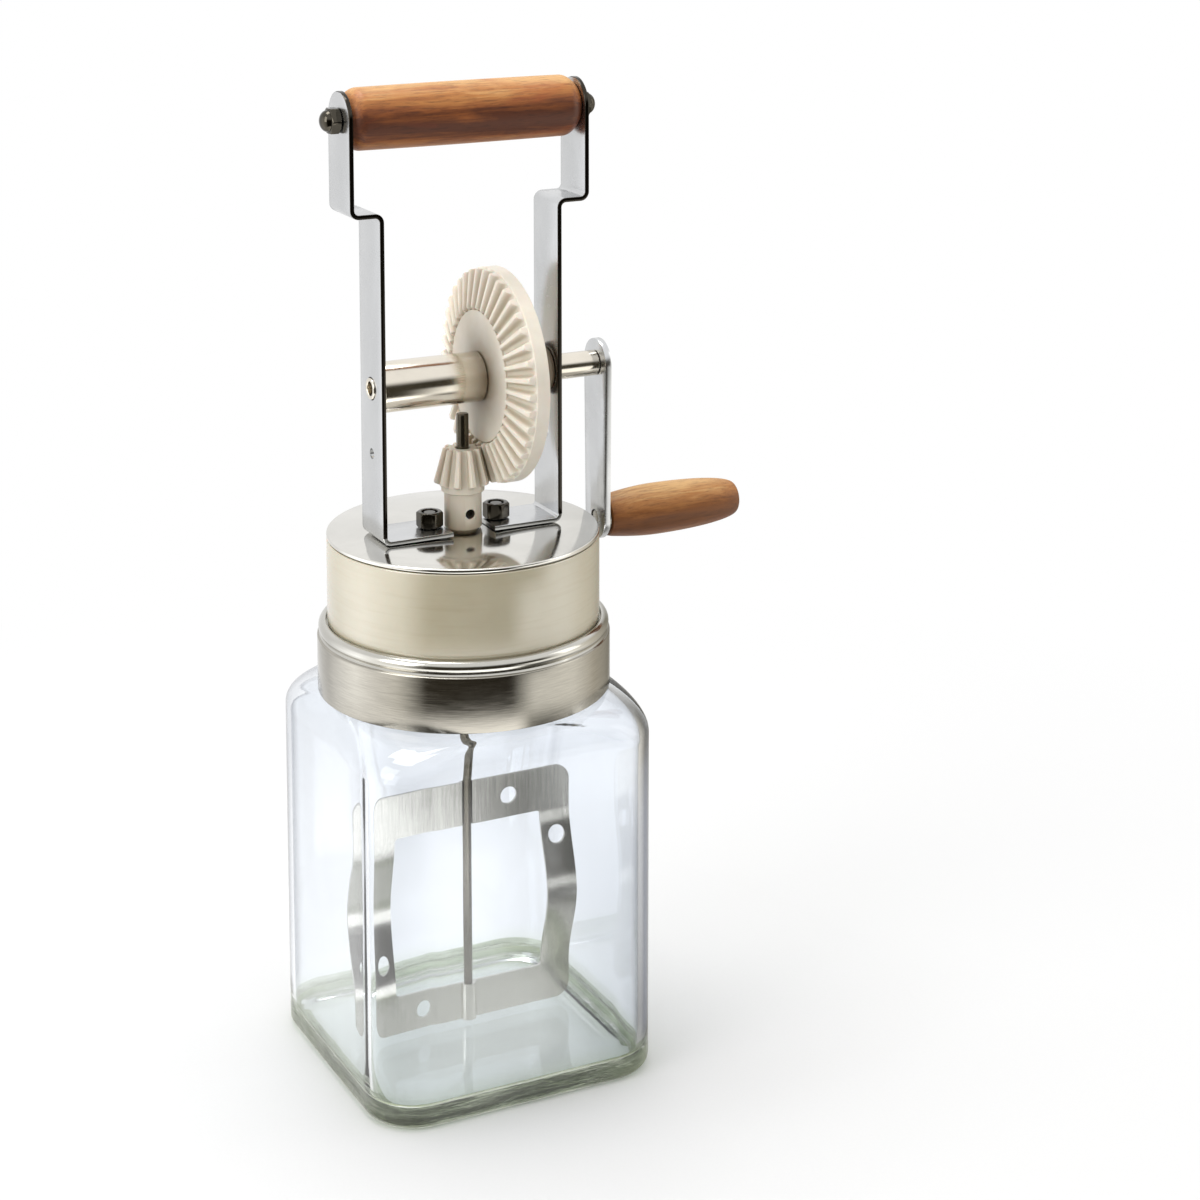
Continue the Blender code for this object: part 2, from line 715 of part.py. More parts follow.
def foot_bolt(name, side, material):
    """A slotted bolt from under the drum, up through drum, plate and foot into its nut."""
    head_bottom = BOLT_HEAD_Z - FOOT_BOLT_HEAD_HEIGHT
    tip = FOOT_Z + STRAP_THICKNESS + FOOT_NUT_HEIGHT
    edge = NUT_CHAMFER
    profile = [
        (0, tip),
        (FOOT_BOLT_RADIUS - edge, tip),
        (FOOT_BOLT_RADIUS, tip - edge),
        (FOOT_BOLT_RADIUS, BOLT_HEAD_Z),
        (FOOT_BOLT_HEAD_RADIUS, BOLT_HEAD_Z),
        (FOOT_BOLT_HEAD_RADIUS, head_bottom + edge),
        (FOOT_BOLT_HEAD_RADIUS - edge, head_bottom),
        (0, head_bottom),
    ]
    bolt = turned(name, profile, material, SMALL_STEPS, (side * BOLT_X, 0, 0), closed=False)
    size = (2 * FOOT_BOLT_HEAD_RADIUS + OVERRUN, BOLT_SLOT_WIDTH, 2 * BOLT_SLOT_DEPTH)
    combine(bolt, slot_block(name + "_slot", size, (side * BOLT_X, 0, head_bottom)))
    return bolt


def foot_nut(name, side, material):
    bottom = FOOT_Z + STRAP_THICKNESS + SEAT_GAP
    centre = (side * BOLT_X, 0, bottom + FOOT_NUT_HEIGHT / 2)
    nut = hex_block(name, FOOT_NUT_FLATS, FOOT_NUT_HEIGHT, centre, material)
    drill(nut, name + "_bore", FOOT_BOLT_RADIUS + SEAT_GAP, FOOT_NUT_HEIGHT + OVERRUN, centre)
    return nut


def foot_washer(name, side, material):
    bottom = BOLT_HEAD_Z + SEAT_GAP
    bore = FOOT_BOLT_RADIUS + SEAT_GAP
    profile = ring_profile(bore, FOOT_WASHER_RADIUS, bottom, bottom + FOOT_WASHER_THICKNESS)
    return turned(name, profile, material, SMALL_STEPS, (side * BOLT_X, 0, 0))


def top_grip_radius(place, half):
    """Radius of the top grip at a distance from its middle: a slight barrel that falls away at each end."""
    swell = TOP_GRIP_RADIUS - TOP_GRIP_END_RADIUS
    into_end = max(1 - (half - abs(place)) / TOP_GRIP_ROUND_LENGTH, 0)
    return TOP_GRIP_RADIUS - swell * (place / half) ** 2 - TOP_GRIP_ROUND_DROP * into_end**2


def top_grip(material):
    """A barrel of turned wood with rounded ends, bored for its rod."""
    half = HANDLE_INNER_X - SEAT_GAP
    bore = HANDLE_ROD_RADIUS + SEAT_GAP
    steps = range(TOP_GRIP_ROUND_STEPS + 1)
    places = [half - TOP_GRIP_ROUND_LENGTH * step / TOP_GRIP_ROUND_STEPS for step in steps]
    places += [0] + [-place for place in reversed(places)]
    profile = [(top_grip_radius(place, half), place) for place in places]
    profile += [(bore, -half), (bore, half)]
    return turned("top_grip", profile, material, MEDIUM_STEPS, (0, 0, HANDLE_Z), along_x())


def handle_rod(material):
    length = 2 * (HANDLE_OUTER_X + ROD_THREAD_LENGTH)
    place = (0, 0, HANDLE_Z)
    return cylinder(
        "handle_rod", HANDLE_ROD_RADIUS, length, place, SMALL_STEPS, material, along_x(), NUT_CHAMFER
    )


def cap_nut(name, side, material):
    """A domed nut: a hexagon with a round crown joined to it, bored part of the way."""
    seat = HANDLE_OUTER_X + SEAT_GAP
    centre = (side * (seat + CAP_NUT_HEX / 2), 0, HANDLE_Z)
    nut = hex_block(name, CAP_NUT_FLATS, CAP_NUT_HEX, centre, material, along_x())
    dome_radius = CAP_NUT_FLATS / 2 - NUT_CHAMFER
    dome = [(0, CAP_NUT_DOME)]
    for step in range(1, CAP_NUT_DOME_STEPS + 1):
        angle = math.radians(90) * step / CAP_NUT_DOME_STEPS
        dome.append((dome_radius * math.sin(angle), CAP_NUT_DOME * math.cos(angle)))
    dome += [(dome_radius, -SINK), (0, -SINK)]
    rotation = (0, math.radians(90 * side), 0)
    place = (side * (seat + CAP_NUT_HEX), 0, HANDLE_Z)
    crown = turned(name + "_crown", dome, None, SMALL_STEPS, place, rotation, closed=False)
    combine(nut, make_helper(crown), "UNION")
    bore_end = HANDLE_OUTER_X + ROD_THREAD_LENGTH + SEAT_GAP
    bore_start = HANDLE_OUTER_X - OVERRUN
    bore_centre = (side * (bore_start + bore_end) / 2, 0, HANDLE_Z)
    drill(nut, name + "_bore", HANDLE_ROD_RADIUS + SEAT_GAP, bore_end - bore_start, bore_centre, along_x())
    return nut


def crank_shaft(material):
    """Stepped shaft: hollow-ended journal on the left, full size to the arm, then a neck and riveted head."""
    left_end = -STRAP_OUTER_X - JOURNAL_STANDOUT
    shoulder = -STRAP_INNER_X + SEAT_GAP
    neck_start = ARM_X - SEAT_GAP
    neck_end = ARM_OUTER_X + SEAT_GAP
    head_end = neck_end + RIVET_HEAD_HEIGHT
    edge = SHAFT_TIP_CHAMFER
    profile = [
        (0, head_end),
        (RIVET_HEAD_RADIUS - 2 * edge, head_end),
        (RIVET_HEAD_RADIUS, head_end - 2 * edge),
        (RIVET_HEAD_RADIUS, neck_end),
        (NECK_OF_SHAFT_RADIUS, neck_end),
        (NECK_OF_SHAFT_RADIUS, neck_start),
        (CRANK_SHAFT_RADIUS, neck_start),
        (CRANK_SHAFT_RADIUS, shoulder),
        (JOURNAL_RADIUS, shoulder),
        (JOURNAL_RADIUS, left_end + edge),
        (JOURNAL_RADIUS - edge, left_end),
        (JOURNAL_HOLLOW_RADIUS, left_end),
        (JOURNAL_HOLLOW_RADIUS, left_end + JOURNAL_HOLLOW_DEPTH),
        (0, left_end + JOURNAL_HOLLOW_DEPTH),
    ]
    return turned("crank_shaft", profile, material, MEDIUM_STEPS, (0, 0, CRANK_Z), along_x(), closed=False)


def spacer_tube(material):
    bore = CRANK_SHAFT_RADIUS + SEAT_GAP
    start = -STRAP_INNER_X + SEAT_GAP
    profile = ring_profile(bore, SPACER_RADIUS, start, GEAR_FACE_FRONT - SEAT_GAP, PLATE_EDGE_ROUND)
    return turned("spacer_tube", profile, material, MEDIUM_STEPS, (0, 0, CRANK_Z), along_x())


def cone_point(pitch_radius, slope, normal_offset):
    """A (radius, height) point off a pitch cone, apex at the origin, whose height is slope x radius."""
    tilt = math.atan(slope)
    radius = pitch_radius + normal_offset * math.sin(tilt)
    height = pitch_radius * slope - normal_offset * math.cos(tilt)
    return radius, height


def involute(angle):
    return math.tan(angle) - angle


def tooth_row(virtual_radius, offset):
    """Height above the pitch circle, and half width, of an involute tooth where it is offset above it."""
    radius = virtual_radius + offset
    base_radius = virtual_radius * math.cos(PRESSURE_ANGLE)
    spread = TOOTH_THICKNESS / 2 / virtual_radius + involute(PRESSURE_ANGLE)
    if radius > base_radius:
        spread -= involute(math.acos(base_radius / radius))
    return radius * math.cos(spread) - virtual_radius, radius * math.sin(spread)


def bevel_teeth(name, count, pitch_radius, slope, offsets, inner_share, first_angle, location, rotation):
    """Straight bevel teeth that point at the apex, with a corner row at each offset from the pitch cone."""
    virtual_radius = pitch_radius / math.sin(math.atan(slope))
    rows = [tooth_row(virtual_radius, offset) for offset in offsets]
    section = [(height, -half) for height, half in rows]
    section += [(height, half) for height, half in reversed(rows)]

    def corner(bm, angle, height, aside, share):
        radius, depth = cone_point(pitch_radius, slope, height)
        x = radius * math.cos(angle) - aside * math.sin(angle)
        y = radius * math.sin(angle) + aside * math.cos(angle)
        return bm.verts.new((x * share, y * share, depth * share))

    def build(bm):
        for index in range(count):
            angle = first_angle + math.radians(360) * index / count
            outer = [corner(bm, angle, height, aside, 1) for height, aside in section]
            inner = [corner(bm, angle, height, aside, inner_share) for height, aside in section]
            bm.faces.new(outer)
            bm.faces.new(inner[::-1])
            for place in range(len(section)):
                following = (place + 1) % len(section)
                bm.faces.new((outer[place], inner[place], inner[following], outer[following]))

    return add_object(name, closed_mesh(name, build), None, location, rotation)


def drive_gear(material):
    """Large bevel gear, teeth towards -X, with a hub behind it."""
    root_outer = cone_point(GEAR_PITCH_RADIUS, PITCH_SLOPE, -GEAR_DEDENDUM)
    root_inner = (root_outer[0] * GEAR_INNER_SHARE, root_outer[1] * GEAR_INNER_SHARE)
    bore = CRANK_SHAFT_RADIUS + SEAT_GAP
    profile = [
        (GEAR_HUB_RADIUS, GEAR_HUB_BACK),
        (GEAR_HUB_RADIUS, GEAR_RIM_BACK),
        (GEAR_RIM_RADIUS, GEAR_RIM_BACK),
        (GEAR_RIM_RADIUS, root_outer[1]),
        root_outer,
        root_inner,
        (root_inner[0], GEAR_FACE_FRONT),
        (bore, GEAR_FACE_FRONT),
        (bore, GEAR_HUB_BACK),
    ]
    place = (0, 0, CRANK_Z)
    gear = turned("drive_gear", profile, material, GEAR_TEETH, place, along_x())
    offsets = (-GEAR_DEDENDUM - SINK, GEAR_ADDENDUM)
    teeth = bevel_teeth(
        "drive_gear_teeth",
        GEAR_TEETH,
        GEAR_PITCH_RADIUS,
        PITCH_SLOPE,
        offsets,
        GEAR_INNER_SHARE,
        0,
        place,
        along_x(),
    )
    combine(gear, make_helper(teeth), "UNION")
    hole_length = GEAR_HUB_RADIUS
    centre = (GEAR_HUB_BACK - GEAR_GRUB_SETBACK, 0, CRANK_Z + CRANK_SHAFT_RADIUS + hole_length / 2)
    drill(gear, "gear_grub_hole", GRUB_RADIUS + SEAT_GAP, hole_length, centre)
    return gear


def gear_grub_screw(material):
    bottom = CRANK_SHAFT_RADIUS + 2 * SEAT_GAP
    top = GEAR_HUB_RADIUS - GRUB_RECESS
    centre = (GEAR_HUB_BACK - GEAR_GRUB_SETBACK, 0, CRANK_Z)
    return grub_screw("gear_grub_screw", bottom, top, centre, (0, 0, 0), material)


def grub_screw(name, bottom, top, centre, rotation, material):
    """A short headless screw with a hex socket, standing along its own Z axis from bottom to top."""
    profile = [(0, top), (GRUB_RADIUS, top), (GRUB_RADIUS, bottom), (0, bottom)]
    screw = turned(name, profile, material, SMALL_STEPS, centre, rotation, closed=False)
    depth = 2 * GRUB_SOCKET_DEPTH
    socket = cylinder(name + "_socket", GRUB_SOCKET_RADIUS, depth, centre, 6, None, rotation)
    turn = socket.rotation_euler.to_matrix()
    socket.location = Vector(centre) + turn @ Vector((0, 0, top))
    combine(screw, make_helper(socket))
    return screw


def gear_washer(material):
    bore = CRANK_SHAFT_RADIUS + SEAT_GAP
    profile = ring_profile(bore, GEAR_WASHER_RADIUS, GEAR_WASHER_X, GEAR_WASHER_X + GEAR_WASHER_THICKNESS)
    return turned("gear_washer", profile, material, MEDIUM_STEPS, (0, 0, CRANK_Z), along_x())


def crank_arm(material):
    """Flat bar with round ends, hanging from the shaft and narrowing to the grip's bolt."""
    outline = arc((0, 0), ARM_WIDTH / 2, 0, 180, 2 * ARC_STEPS)
    outline += arc((0, -ARM_LENGTH), ARM_GRIP_WIDTH / 2, 180, 360, 2 * ARC_STEPS)
    middle = ARM_X + ARM_THICKNESS / 2
    across = (math.radians(90), 0, math.radians(90))
    arm = outline_piece("crank_arm", outline, ARM_THICKNESS, material, (middle, 0, CRANK_Z), across)
    reach = ARM_THICKNESS + OVERRUN
    drill(arm, "arm_shaft_hole", NECK_OF_SHAFT_RADIUS + SEAT_GAP, reach, (middle, 0, CRANK_Z), along_x())
    drill(arm, "arm_bolt_hole", GRIP_BOLT_RADIUS + SEAT_GAP, reach, (middle, 0, GRIP_AXIS_Z), along_x())
    return arm


def grip_bolt(material):
    """Shoulder bolt: flush in the arm, through the grip, its slotted head in the grip's end recess."""
    start = ARM_X + SEAT_GAP
    seat = GRIP_X + GRIP_LENGTH - GRIP_RECESS_DEPTH + RUNNING_GAP
    end = seat + GRIP_BOLT_HEAD_HEIGHT
    edge = NUT_CHAMFER
    profile = [
        (0, end),
        (GRIP_BOLT_HEAD_RADIUS - edge, end),
        (GRIP_BOLT_HEAD_RADIUS, end - edge),
        (GRIP_BOLT_HEAD_RADIUS, seat),
        (GRIP_BOLT_RADIUS, seat),
        (GRIP_BOLT_RADIUS, start),
        (0, start),
    ]
    bolt = turned("grip_bolt", profile, material, SMALL_STEPS, (0, 0, GRIP_AXIS_Z), along_x(), closed=False)
    size = (2 * BOLT_SLOT_DEPTH, 2 * GRIP_BOLT_HEAD_RADIUS + OVERRUN, BOLT_SLOT_WIDTH)
    combine(bolt, slot_block("grip_bolt_slot", size, (end, 0, GRIP_AXIS_Z)))
    return bolt


def grip_washer(material):
    bore = GRIP_BOLT_RADIUS + SEAT_GAP
    profile = ring_profile(bore, GRIP_WASHER_RADIUS, GRIP_WASHER_X, GRIP_WASHER_X + GRIP_WASHER_THICKNESS)
    return turned("grip_washer", profile, material, SMALL_STEPS, (0, 0, GRIP_AXIS_Z), along_x())


def grip_radius(share):
    """Radius of the crank grip at a share of its length from the arm."""
    if share < GRIP_WIDEST_SHARE:
        rise = math.sin(math.radians(90) * share / GRIP_WIDEST_SHARE)
        return GRIP_ROOT_RADIUS + (GRIP_RADIUS - GRIP_ROOT_RADIUS) * rise
    fall = (share - GRIP_WIDEST_SHARE) / (1 - GRIP_WIDEST_SHARE)
    return GRIP_END_RADIUS + (GRIP_RADIUS - GRIP_END_RADIUS) * math.sqrt(1 - fall**GRIP_FALL_POWER)


def crank_grip(material):
    """Turned wooden grip, swollen in its near half, with a recess in its far end for the bolt's head."""
    bore = GRIP_BOLT_RADIUS + RUNNING_GAP
    recess = GRIP_BOLT_HEAD_RADIUS + RUNNING_GAP
    end = GRIP_X + GRIP_LENGTH
    profile = []
    for station in range(GRIP_STATIONS, 0, -1):
        share = math.sin(math.radians(90) * station / GRIP_STATIONS)
        profile.append((grip_radius(share), GRIP_X + GRIP_LENGTH * share))
    profile += [
        (GRIP_ROOT_RADIUS, GRIP_X + GRIP_EDGE),
        (GRIP_ROOT_RADIUS - GRIP_EDGE, GRIP_X),
        (bore, GRIP_X),
        (bore, end - GRIP_RECESS_DEPTH),
        (recess, end - GRIP_RECESS_DEPTH),
        (recess, end),
    ]
    return turned("crank_grip", profile, material, MEDIUM_STEPS, (0, 0, GRIP_AXIS_Z), along_x())


def pinion_sizes():
    """Pitch radius, root point of the teeth's outer end, and how far the hub reaches below the apex."""
    pitch_radius = GEAR_PITCH_RADIUS * PITCH_SLOPE
    root_outer = cone_point(pitch_radius, 1 / PITCH_SLOPE, -PINION_DEDENDUM)
    hub_bottom = CRANK_HEIGHT - BUSH_PROUD - SEAT_GAP
    return pitch_radius, root_outer, hub_bottom


def pinion_gear(material):
    """Small bevel gear, point up, with a long hub that rests on the bush."""
    pitch_radius, root_outer, hub_bottom = pinion_sizes()
    radius, depth = root_outer
    bore = PADDLE_SHAFT_RADIUS + SEAT_GAP
    inner = (radius * PINION_INNER_SHARE, -depth * PINION_INNER_SHARE)
    collar_bottom = -depth - PINION_COLLAR_LENGTH
    profile = [
        inner,
        (radius, -depth),
        (PINION_COLLAR_RADIUS, -depth),
        (PINION_COLLAR_RADIUS, collar_bottom),
        (PINION_HUB_RADIUS, collar_bottom),
        (PINION_HUB_RADIUS, -hub_bottom),
        (bore, -hub_bottom),
        (bore, inner[1]),
    ]
    place = (0, 0, CRANK_Z)
    pinion = turned("pinion_gear", profile, material, 2 * PINION_TEETH, place)
    half_pitch = math.radians(180) / PINION_TEETH
    offsets = (-PINION_DEDENDUM - SINK, -PINION_DEDENDUM, 0, PINION_ADDENDUM)
    upside_down = (math.radians(180), 0, 0)
    teeth = bevel_teeth(
        "pinion_teeth",
        PINION_TEETH,
        pitch_radius,
        1 / PITCH_SLOPE,
        offsets,
        PINION_INNER_SHARE,
        half_pitch,
        place,
        upside_down,
    )
    combine(pinion, make_helper(teeth), "UNION")
    centre = (0, -PADDLE_SHAFT_RADIUS - PINION_HUB_RADIUS / 2, pinion_grub_z())
    forwards = (math.radians(90), 0, 0)
    drill(pinion, "pinion_grub_hole", GRUB_RADIUS + SEAT_GAP, PINION_HUB_RADIUS, centre, forwards)
    return pinion


def pinion_grub_z():
    return PLATE_TOP_Z + CRANK_HEIGHT * PINION_GRUB_HEIGHT_SHARE


def pinion_grub_screw(material):
    bottom = PADDLE_SHAFT_RADIUS + 2 * SEAT_GAP
    top = PINION_HUB_RADIUS - GRUB_RECESS
    centre = (0, 0, pinion_grub_z())
    return grub_screw("pinion_grub_screw", bottom, top, centre, (math.radians(90), 0, 0), material)


def bush_flange_z():
    """Height of the underside of the bush's flange."""
    return DRUM_TOP_Z - DRUM_WALL - SEAT_GAP - BUSH_FLANGE_THICKNESS


def shaft_bush(material):
    """Flanged bush, pushed up through drum and plate until it stands just proud of the plate."""
    bore = PADDLE_SHAFT_RADIUS + RUNNING_GAP
    flange_bottom = bush_flange_z()
    flange_top = flange_bottom + BUSH_FLANGE_THICKNESS
    top = PLATE_TOP_Z + BUSH_PROUD
    profile = [
        (BUSH_RADIUS, top),
        (BUSH_RADIUS, flange_top),
        (BUSH_FLANGE_RADIUS, flange_top),
        (BUSH_FLANGE_RADIUS, flange_bottom),
        (bore, flange_bottom),
        (bore, top),
    ]
    return turned("shaft_bush", profile, material, MEDIUM_STEPS)


def retaining_ring(material):
    top = bush_flange_z() - SEAT_GAP
    bore = PADDLE_SHAFT_RADIUS + SEAT_GAP
    profile = ring_profile(bore, RETAINING_RING_RADIUS, top - RETAINING_RING_THICKNESS, top)
    return turned("retaining_ring", profile, material, SMALL_STEPS)


def paddle_shaft(material):
    """Upright shaft: full size in pinion and bush, thinner down through the jar to the lower bar."""
    top = CRANK_Z - PADDLE_SHAFT_TOP
    step = bush_flange_z() - SEAT_GAP - RETAINING_RING_THICKNESS - SHAFT_STEP_DROP
    bottom = PADDLE_BOTTOM_Z + SEAT_GAP
    edge = SHAFT_TIP_CHAMFER
    profile = [
        (0, top),
        (PADDLE_SHAFT_RADIUS - edge, top),
        (PADDLE_SHAFT_RADIUS, top - edge),
        (PADDLE_SHAFT_RADIUS, step),
        (PADDLE_ROD_RADIUS, step - edge),
        (PADDLE_ROD_RADIUS, bottom),
        (0, bottom),
    ]
    return turned("paddle_shaft", profile, material, SMALL_STEPS, closed=False)


def paddle_columns():
    """Places across the paddle, with the channel that holds the rod as an arc in the middle."""
    channel = PADDLE_ROD_RADIUS + SEAT_GAP + PADDLE_SHEET / 2
    outer = PADDLE_WIDTH / 2 + OVERRUN
    side = PADDLE_WIDTH / 2 - PADDLE_SIDE_BAR - PADDLE_WINDOW_CORNER
    blend = side - BOW_BLEND
    middle_of_bar = PADDLE_WIDTH / 2 - PADDLE_SIDE_BAR / 2
    right = [(x, 0) for x in (channel + PADDLE_SHEET, blend, side, middle_of_bar, outer)]
    left = [(-x, depth) for x, depth in reversed(right)]
    return left + arc((0, 0), channel, 180, 0, CHANNEL_STEPS) + right


def paddle_bow(x, z):
    """How far a side bar bows out of the sheet: one side forwards, the other back."""
    side = PADDLE_WIDTH / 2 - PADDLE_SIDE_BAR - PADDLE_WINDOW_CORNER
    across = min(max((abs(x) - side + BOW_BLEND) / BOW_BLEND, 0), 1)
    low = PADDLE_BOTTOM_Z + PADDLE_BOTTOM_BAR
    high = PADDLE_TOP - PADDLE_TOP_BAR
    along = (z - low) / (high - low)
    if along <= 0 or along >= 1:
        return 0
    return -math.copysign(PADDLE_BOW, x) * across * math.sin(math.radians(180) * along) ** 2


def paddle_sheet_rows():
    """Heights of the sheet's rows, each with the side that its channel bulges to."""
    low = PADDLE_BOTTOM_Z + PADDLE_BOTTOM_BAR
    high = PADDLE_TOP - PADDLE_TOP_BAR
    rows = [(PADDLE_BOTTOM_Z - OVERRUN, -1)]
    for row in range(BOW_ROWS + 1):
        share = row / BOW_ROWS
        rows.append((low + (high - low) * share, -1 if share < 0.5 else 1))
    rows.append((PADDLE_TOP + OVERRUN, 1))
    return rows


def paddle_frame(material):
    """Pressed sheet frame: bars channelled for the rod, side bars bowed opposite ways, and four holes."""
    columns = paddle_columns()
    rows = paddle_sheet_rows()

    def build(bm):
        grid = []
        for z, bulge in rows:
            line = [bm.verts.new((x, depth * bulge + paddle_bow(x, z), z)) for x, depth in columns]
            grid.append(line)
        for lower, upper in zip(grid, grid[1:]):
            for index in range(len(columns) - 1):
                bm.faces.new((lower[index], lower[index + 1], upper[index + 1], upper[index]))

    mesh = closed_mesh("paddle_frame", build)
    shade_smooth(mesh)
    frame = add_object("paddle_frame", mesh, material)
    solidify = frame.modifiers.new("Thickness", "SOLIDIFY")
    solidify.thickness = PADDLE_SHEET
    solidify.offset = 0
    solidify.use_even_offset = True
    depth = 2 * (PADDLE_BOW + PADDLE_SHEET + OVERRUN)
    upright_turn = (math.radians(90), 0, 0)
    height = PADDLE_TOP - PADDLE_BOTTOM_Z
    middle = (0, (PADDLE_TOP + PADDLE_BOTTOM_Z) / 2)
    outline = rounded_rectangle(PADDLE_WIDTH, height, PADDLE_OUTER_CORNER, middle)
    blank = make_helper(outline_piece("paddle_outline", outline, depth, None, rotation=upright_turn))
    combine(frame, blank, "INTERSECT")
    low = PADDLE_BOTTOM_Z + PADDLE_BOTTOM_BAR
    high = PADDLE_TOP - PADDLE_TOP_BAR
    width = PADDLE_WIDTH - 2 * PADDLE_SIDE_BAR
    middle = (0, (low + high) / 2)
    window = rounded_rectangle(width, high - low, PADDLE_WINDOW_CORNER, middle, WINDOW_CORNER_STEPS)
    combine(frame, make_helper(outline_piece("paddle_window", window, depth, None, rotation=upright_turn)))
    side_x = PADDLE_WIDTH / 2 - PADDLE_SIDE_BAR / 2
    holes = (
        (BAR_HOLE_REACH, PADDLE_TOP - PADDLE_TOP_BAR / 2),
        (-BAR_HOLE_REACH, PADDLE_BOTTOM_Z + PADDLE_BOTTOM_BAR / 2),
        (side_x, PADDLE_TOP - SIDE_HOLE_DROP),
        (-side_x, PADDLE_BOTTOM_Z + SIDE_HOLE_DROP),
    )
    for number, (x, z) in enumerate(holes, 1):
        drill(frame, f"paddle_hole_{number}", PADDLE_HOLE_RADIUS, depth, (x, 0, z), upright_turn)
    return frame


def build_jar(looks):
    glass_jar(looks["glass"])


def build_head(looks):
    rim_gasket(looks["silicone"])
    strainer_drum(looks["brushed_steel"])
    silicone_sleeve(looks["silicone"])
    top_plate(looks["polished_steel"])
    shaft_bush(looks["nylon"])
    upright("left_upright", -1, JOURNAL_RADIUS, looks["polished_steel"])
    upright("right_upright", 1, CRANK_SHAFT_RADIUS, looks["polished_steel"])
    for word, side in (("left", -1), ("right", 1)):
        foot_bolt(f"{word}_foot_bolt", side, looks["polished_steel"])
        foot_nut(f"{word}_foot_nut", side, looks["polished_steel"])
        foot_washer(f"{word}_foot_washer", side, looks["brushed_steel"])
        cap_nut(f"{word}_cap_nut", side, looks["polished_steel"])
    top_grip(looks["wood"])
    handle_rod(looks["brushed_steel"])


def build_band(looks):
    screw_band(looks["brushed_steel"])
    band_liner(looks["nylon"])


def build_crank(looks):
    crank_shaft(looks["polished_steel"])
    spacer_tube(looks["polished_steel"])
    drive_gear(looks["nylon"])
    gear_grub_screw(looks["brushed_steel"])
    gear_washer(looks["nylon"])
    crank_arm(looks["polished_steel"])
    grip_bolt(looks["brushed_steel"])
    grip_washer(looks["brushed_steel"])
    crank_grip(looks["wood"])


def build_paddle(looks):
    pinion_gear(looks["nylon"])
    pinion_grub_screw(looks["brushed_steel"])
    retaining_ring(looks["brushed_steel"])
    paddle_shaft(looks["brushed_steel"])
    paddle_frame(looks["brushed_steel"])


def make_looks():
    return {
        "glass": make_material("glass", (0.86, 0.92, 0.88), 0.03, 0.0, 0.9),
        "polished_steel": make_material("polished_steel", (0.82, 0.82, 0.80), 0.08, 1.0),
        "brushed_steel": make_material("brushed_steel", (0.60, 0.59, 0.56), 0.32, 1.0),
        "silicone": make_material("silicone", (0.80, 0.77, 0.66), 0.42),
        "nylon": make_material("nylon", (0.90, 0.88, 0.82), 0.38),
        "wood": make_material("wood", (0.58, 0.33, 0.14), 0.46),
    }


clear_scene()
PIECES = new_collection("butter_churn")
HELPERS = new_collection("cutters")
LOOKS = make_looks()
build_jar(LOOKS)
build_head(LOOKS)
build_band(LOOKS)
build_crank(LOOKS)
build_paddle(LOOKS)
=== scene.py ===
"""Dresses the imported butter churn: fine meshes, procedural finishes, a plain studio and the camera.

Metres, +Z up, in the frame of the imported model. Sizes repeat those of the solids.
"""

import json
import math

import bmesh
import bpy
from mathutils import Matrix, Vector

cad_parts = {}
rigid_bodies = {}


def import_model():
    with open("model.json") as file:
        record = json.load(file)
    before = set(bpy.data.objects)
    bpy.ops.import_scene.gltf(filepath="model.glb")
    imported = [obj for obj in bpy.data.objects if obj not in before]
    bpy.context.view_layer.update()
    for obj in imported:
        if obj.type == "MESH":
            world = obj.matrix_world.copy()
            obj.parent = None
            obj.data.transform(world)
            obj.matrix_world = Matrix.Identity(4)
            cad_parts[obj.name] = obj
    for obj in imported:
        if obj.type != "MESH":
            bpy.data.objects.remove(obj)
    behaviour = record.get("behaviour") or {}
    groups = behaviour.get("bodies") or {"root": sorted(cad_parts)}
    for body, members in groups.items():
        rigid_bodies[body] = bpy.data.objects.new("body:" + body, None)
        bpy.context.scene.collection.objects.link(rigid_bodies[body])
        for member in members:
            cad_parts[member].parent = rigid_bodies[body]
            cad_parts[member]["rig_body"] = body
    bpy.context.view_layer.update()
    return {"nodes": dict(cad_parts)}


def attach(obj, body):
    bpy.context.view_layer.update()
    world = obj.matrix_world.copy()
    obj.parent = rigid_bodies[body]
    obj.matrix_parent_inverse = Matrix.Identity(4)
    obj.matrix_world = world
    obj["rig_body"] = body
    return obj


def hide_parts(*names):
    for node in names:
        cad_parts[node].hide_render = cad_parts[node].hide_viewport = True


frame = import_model()

# Facets of round pieces, and points round the jar
FINE_STEPS = 192
ROUND_STEPS = 96
SMALL_STEPS = 48
JAR_STEPS = 320

# Heights
BAND_BOTTOM_Z = 0.1294
RIM_Z = 0.1496
GASKET_Z = 0.1499
FLANGE_Z = 0.1513
BAND_TOP_Z = 0.1531
RETAINER_Z = 0.1772
BUSH_BOTTOM_Z = 0.1787
BOLT_HEAD_Z = 0.1788
GRIP_AXIS_Z = 0.1799
UNDER_DRUM_Z = 0.1801
DRUM_TOP_Z = 0.1812
PLATE_Z = 0.1815
PLATE_TOP_Z = 0.183
FOOT_Z = 0.1833
CRANK_Z = 0.2346
HANDLE_Z = 0.3245

# Jar
JAR_HALF = 0.0512
JAR_CORNER = 0.018
JAR_WALL = 0.0035
JAR_FLOOR = 0.0068
FOOT_ROUND = 0.004
FLOOR_ROUND = 0.0022
BASE_GLASS_Z = 0.0086
JAR_SIDE_HEIGHT = 0.117
SHOULDER_RISE = 0.012
NECK_RADIUS = 0.0452
NECK_BORE = 0.0412
RIM_ROUND = 0.0012
THREAD_TURNS = 1.25
THREAD_PITCH = 0.005
THREAD_TOP_Z = RIM_Z - 0.0045
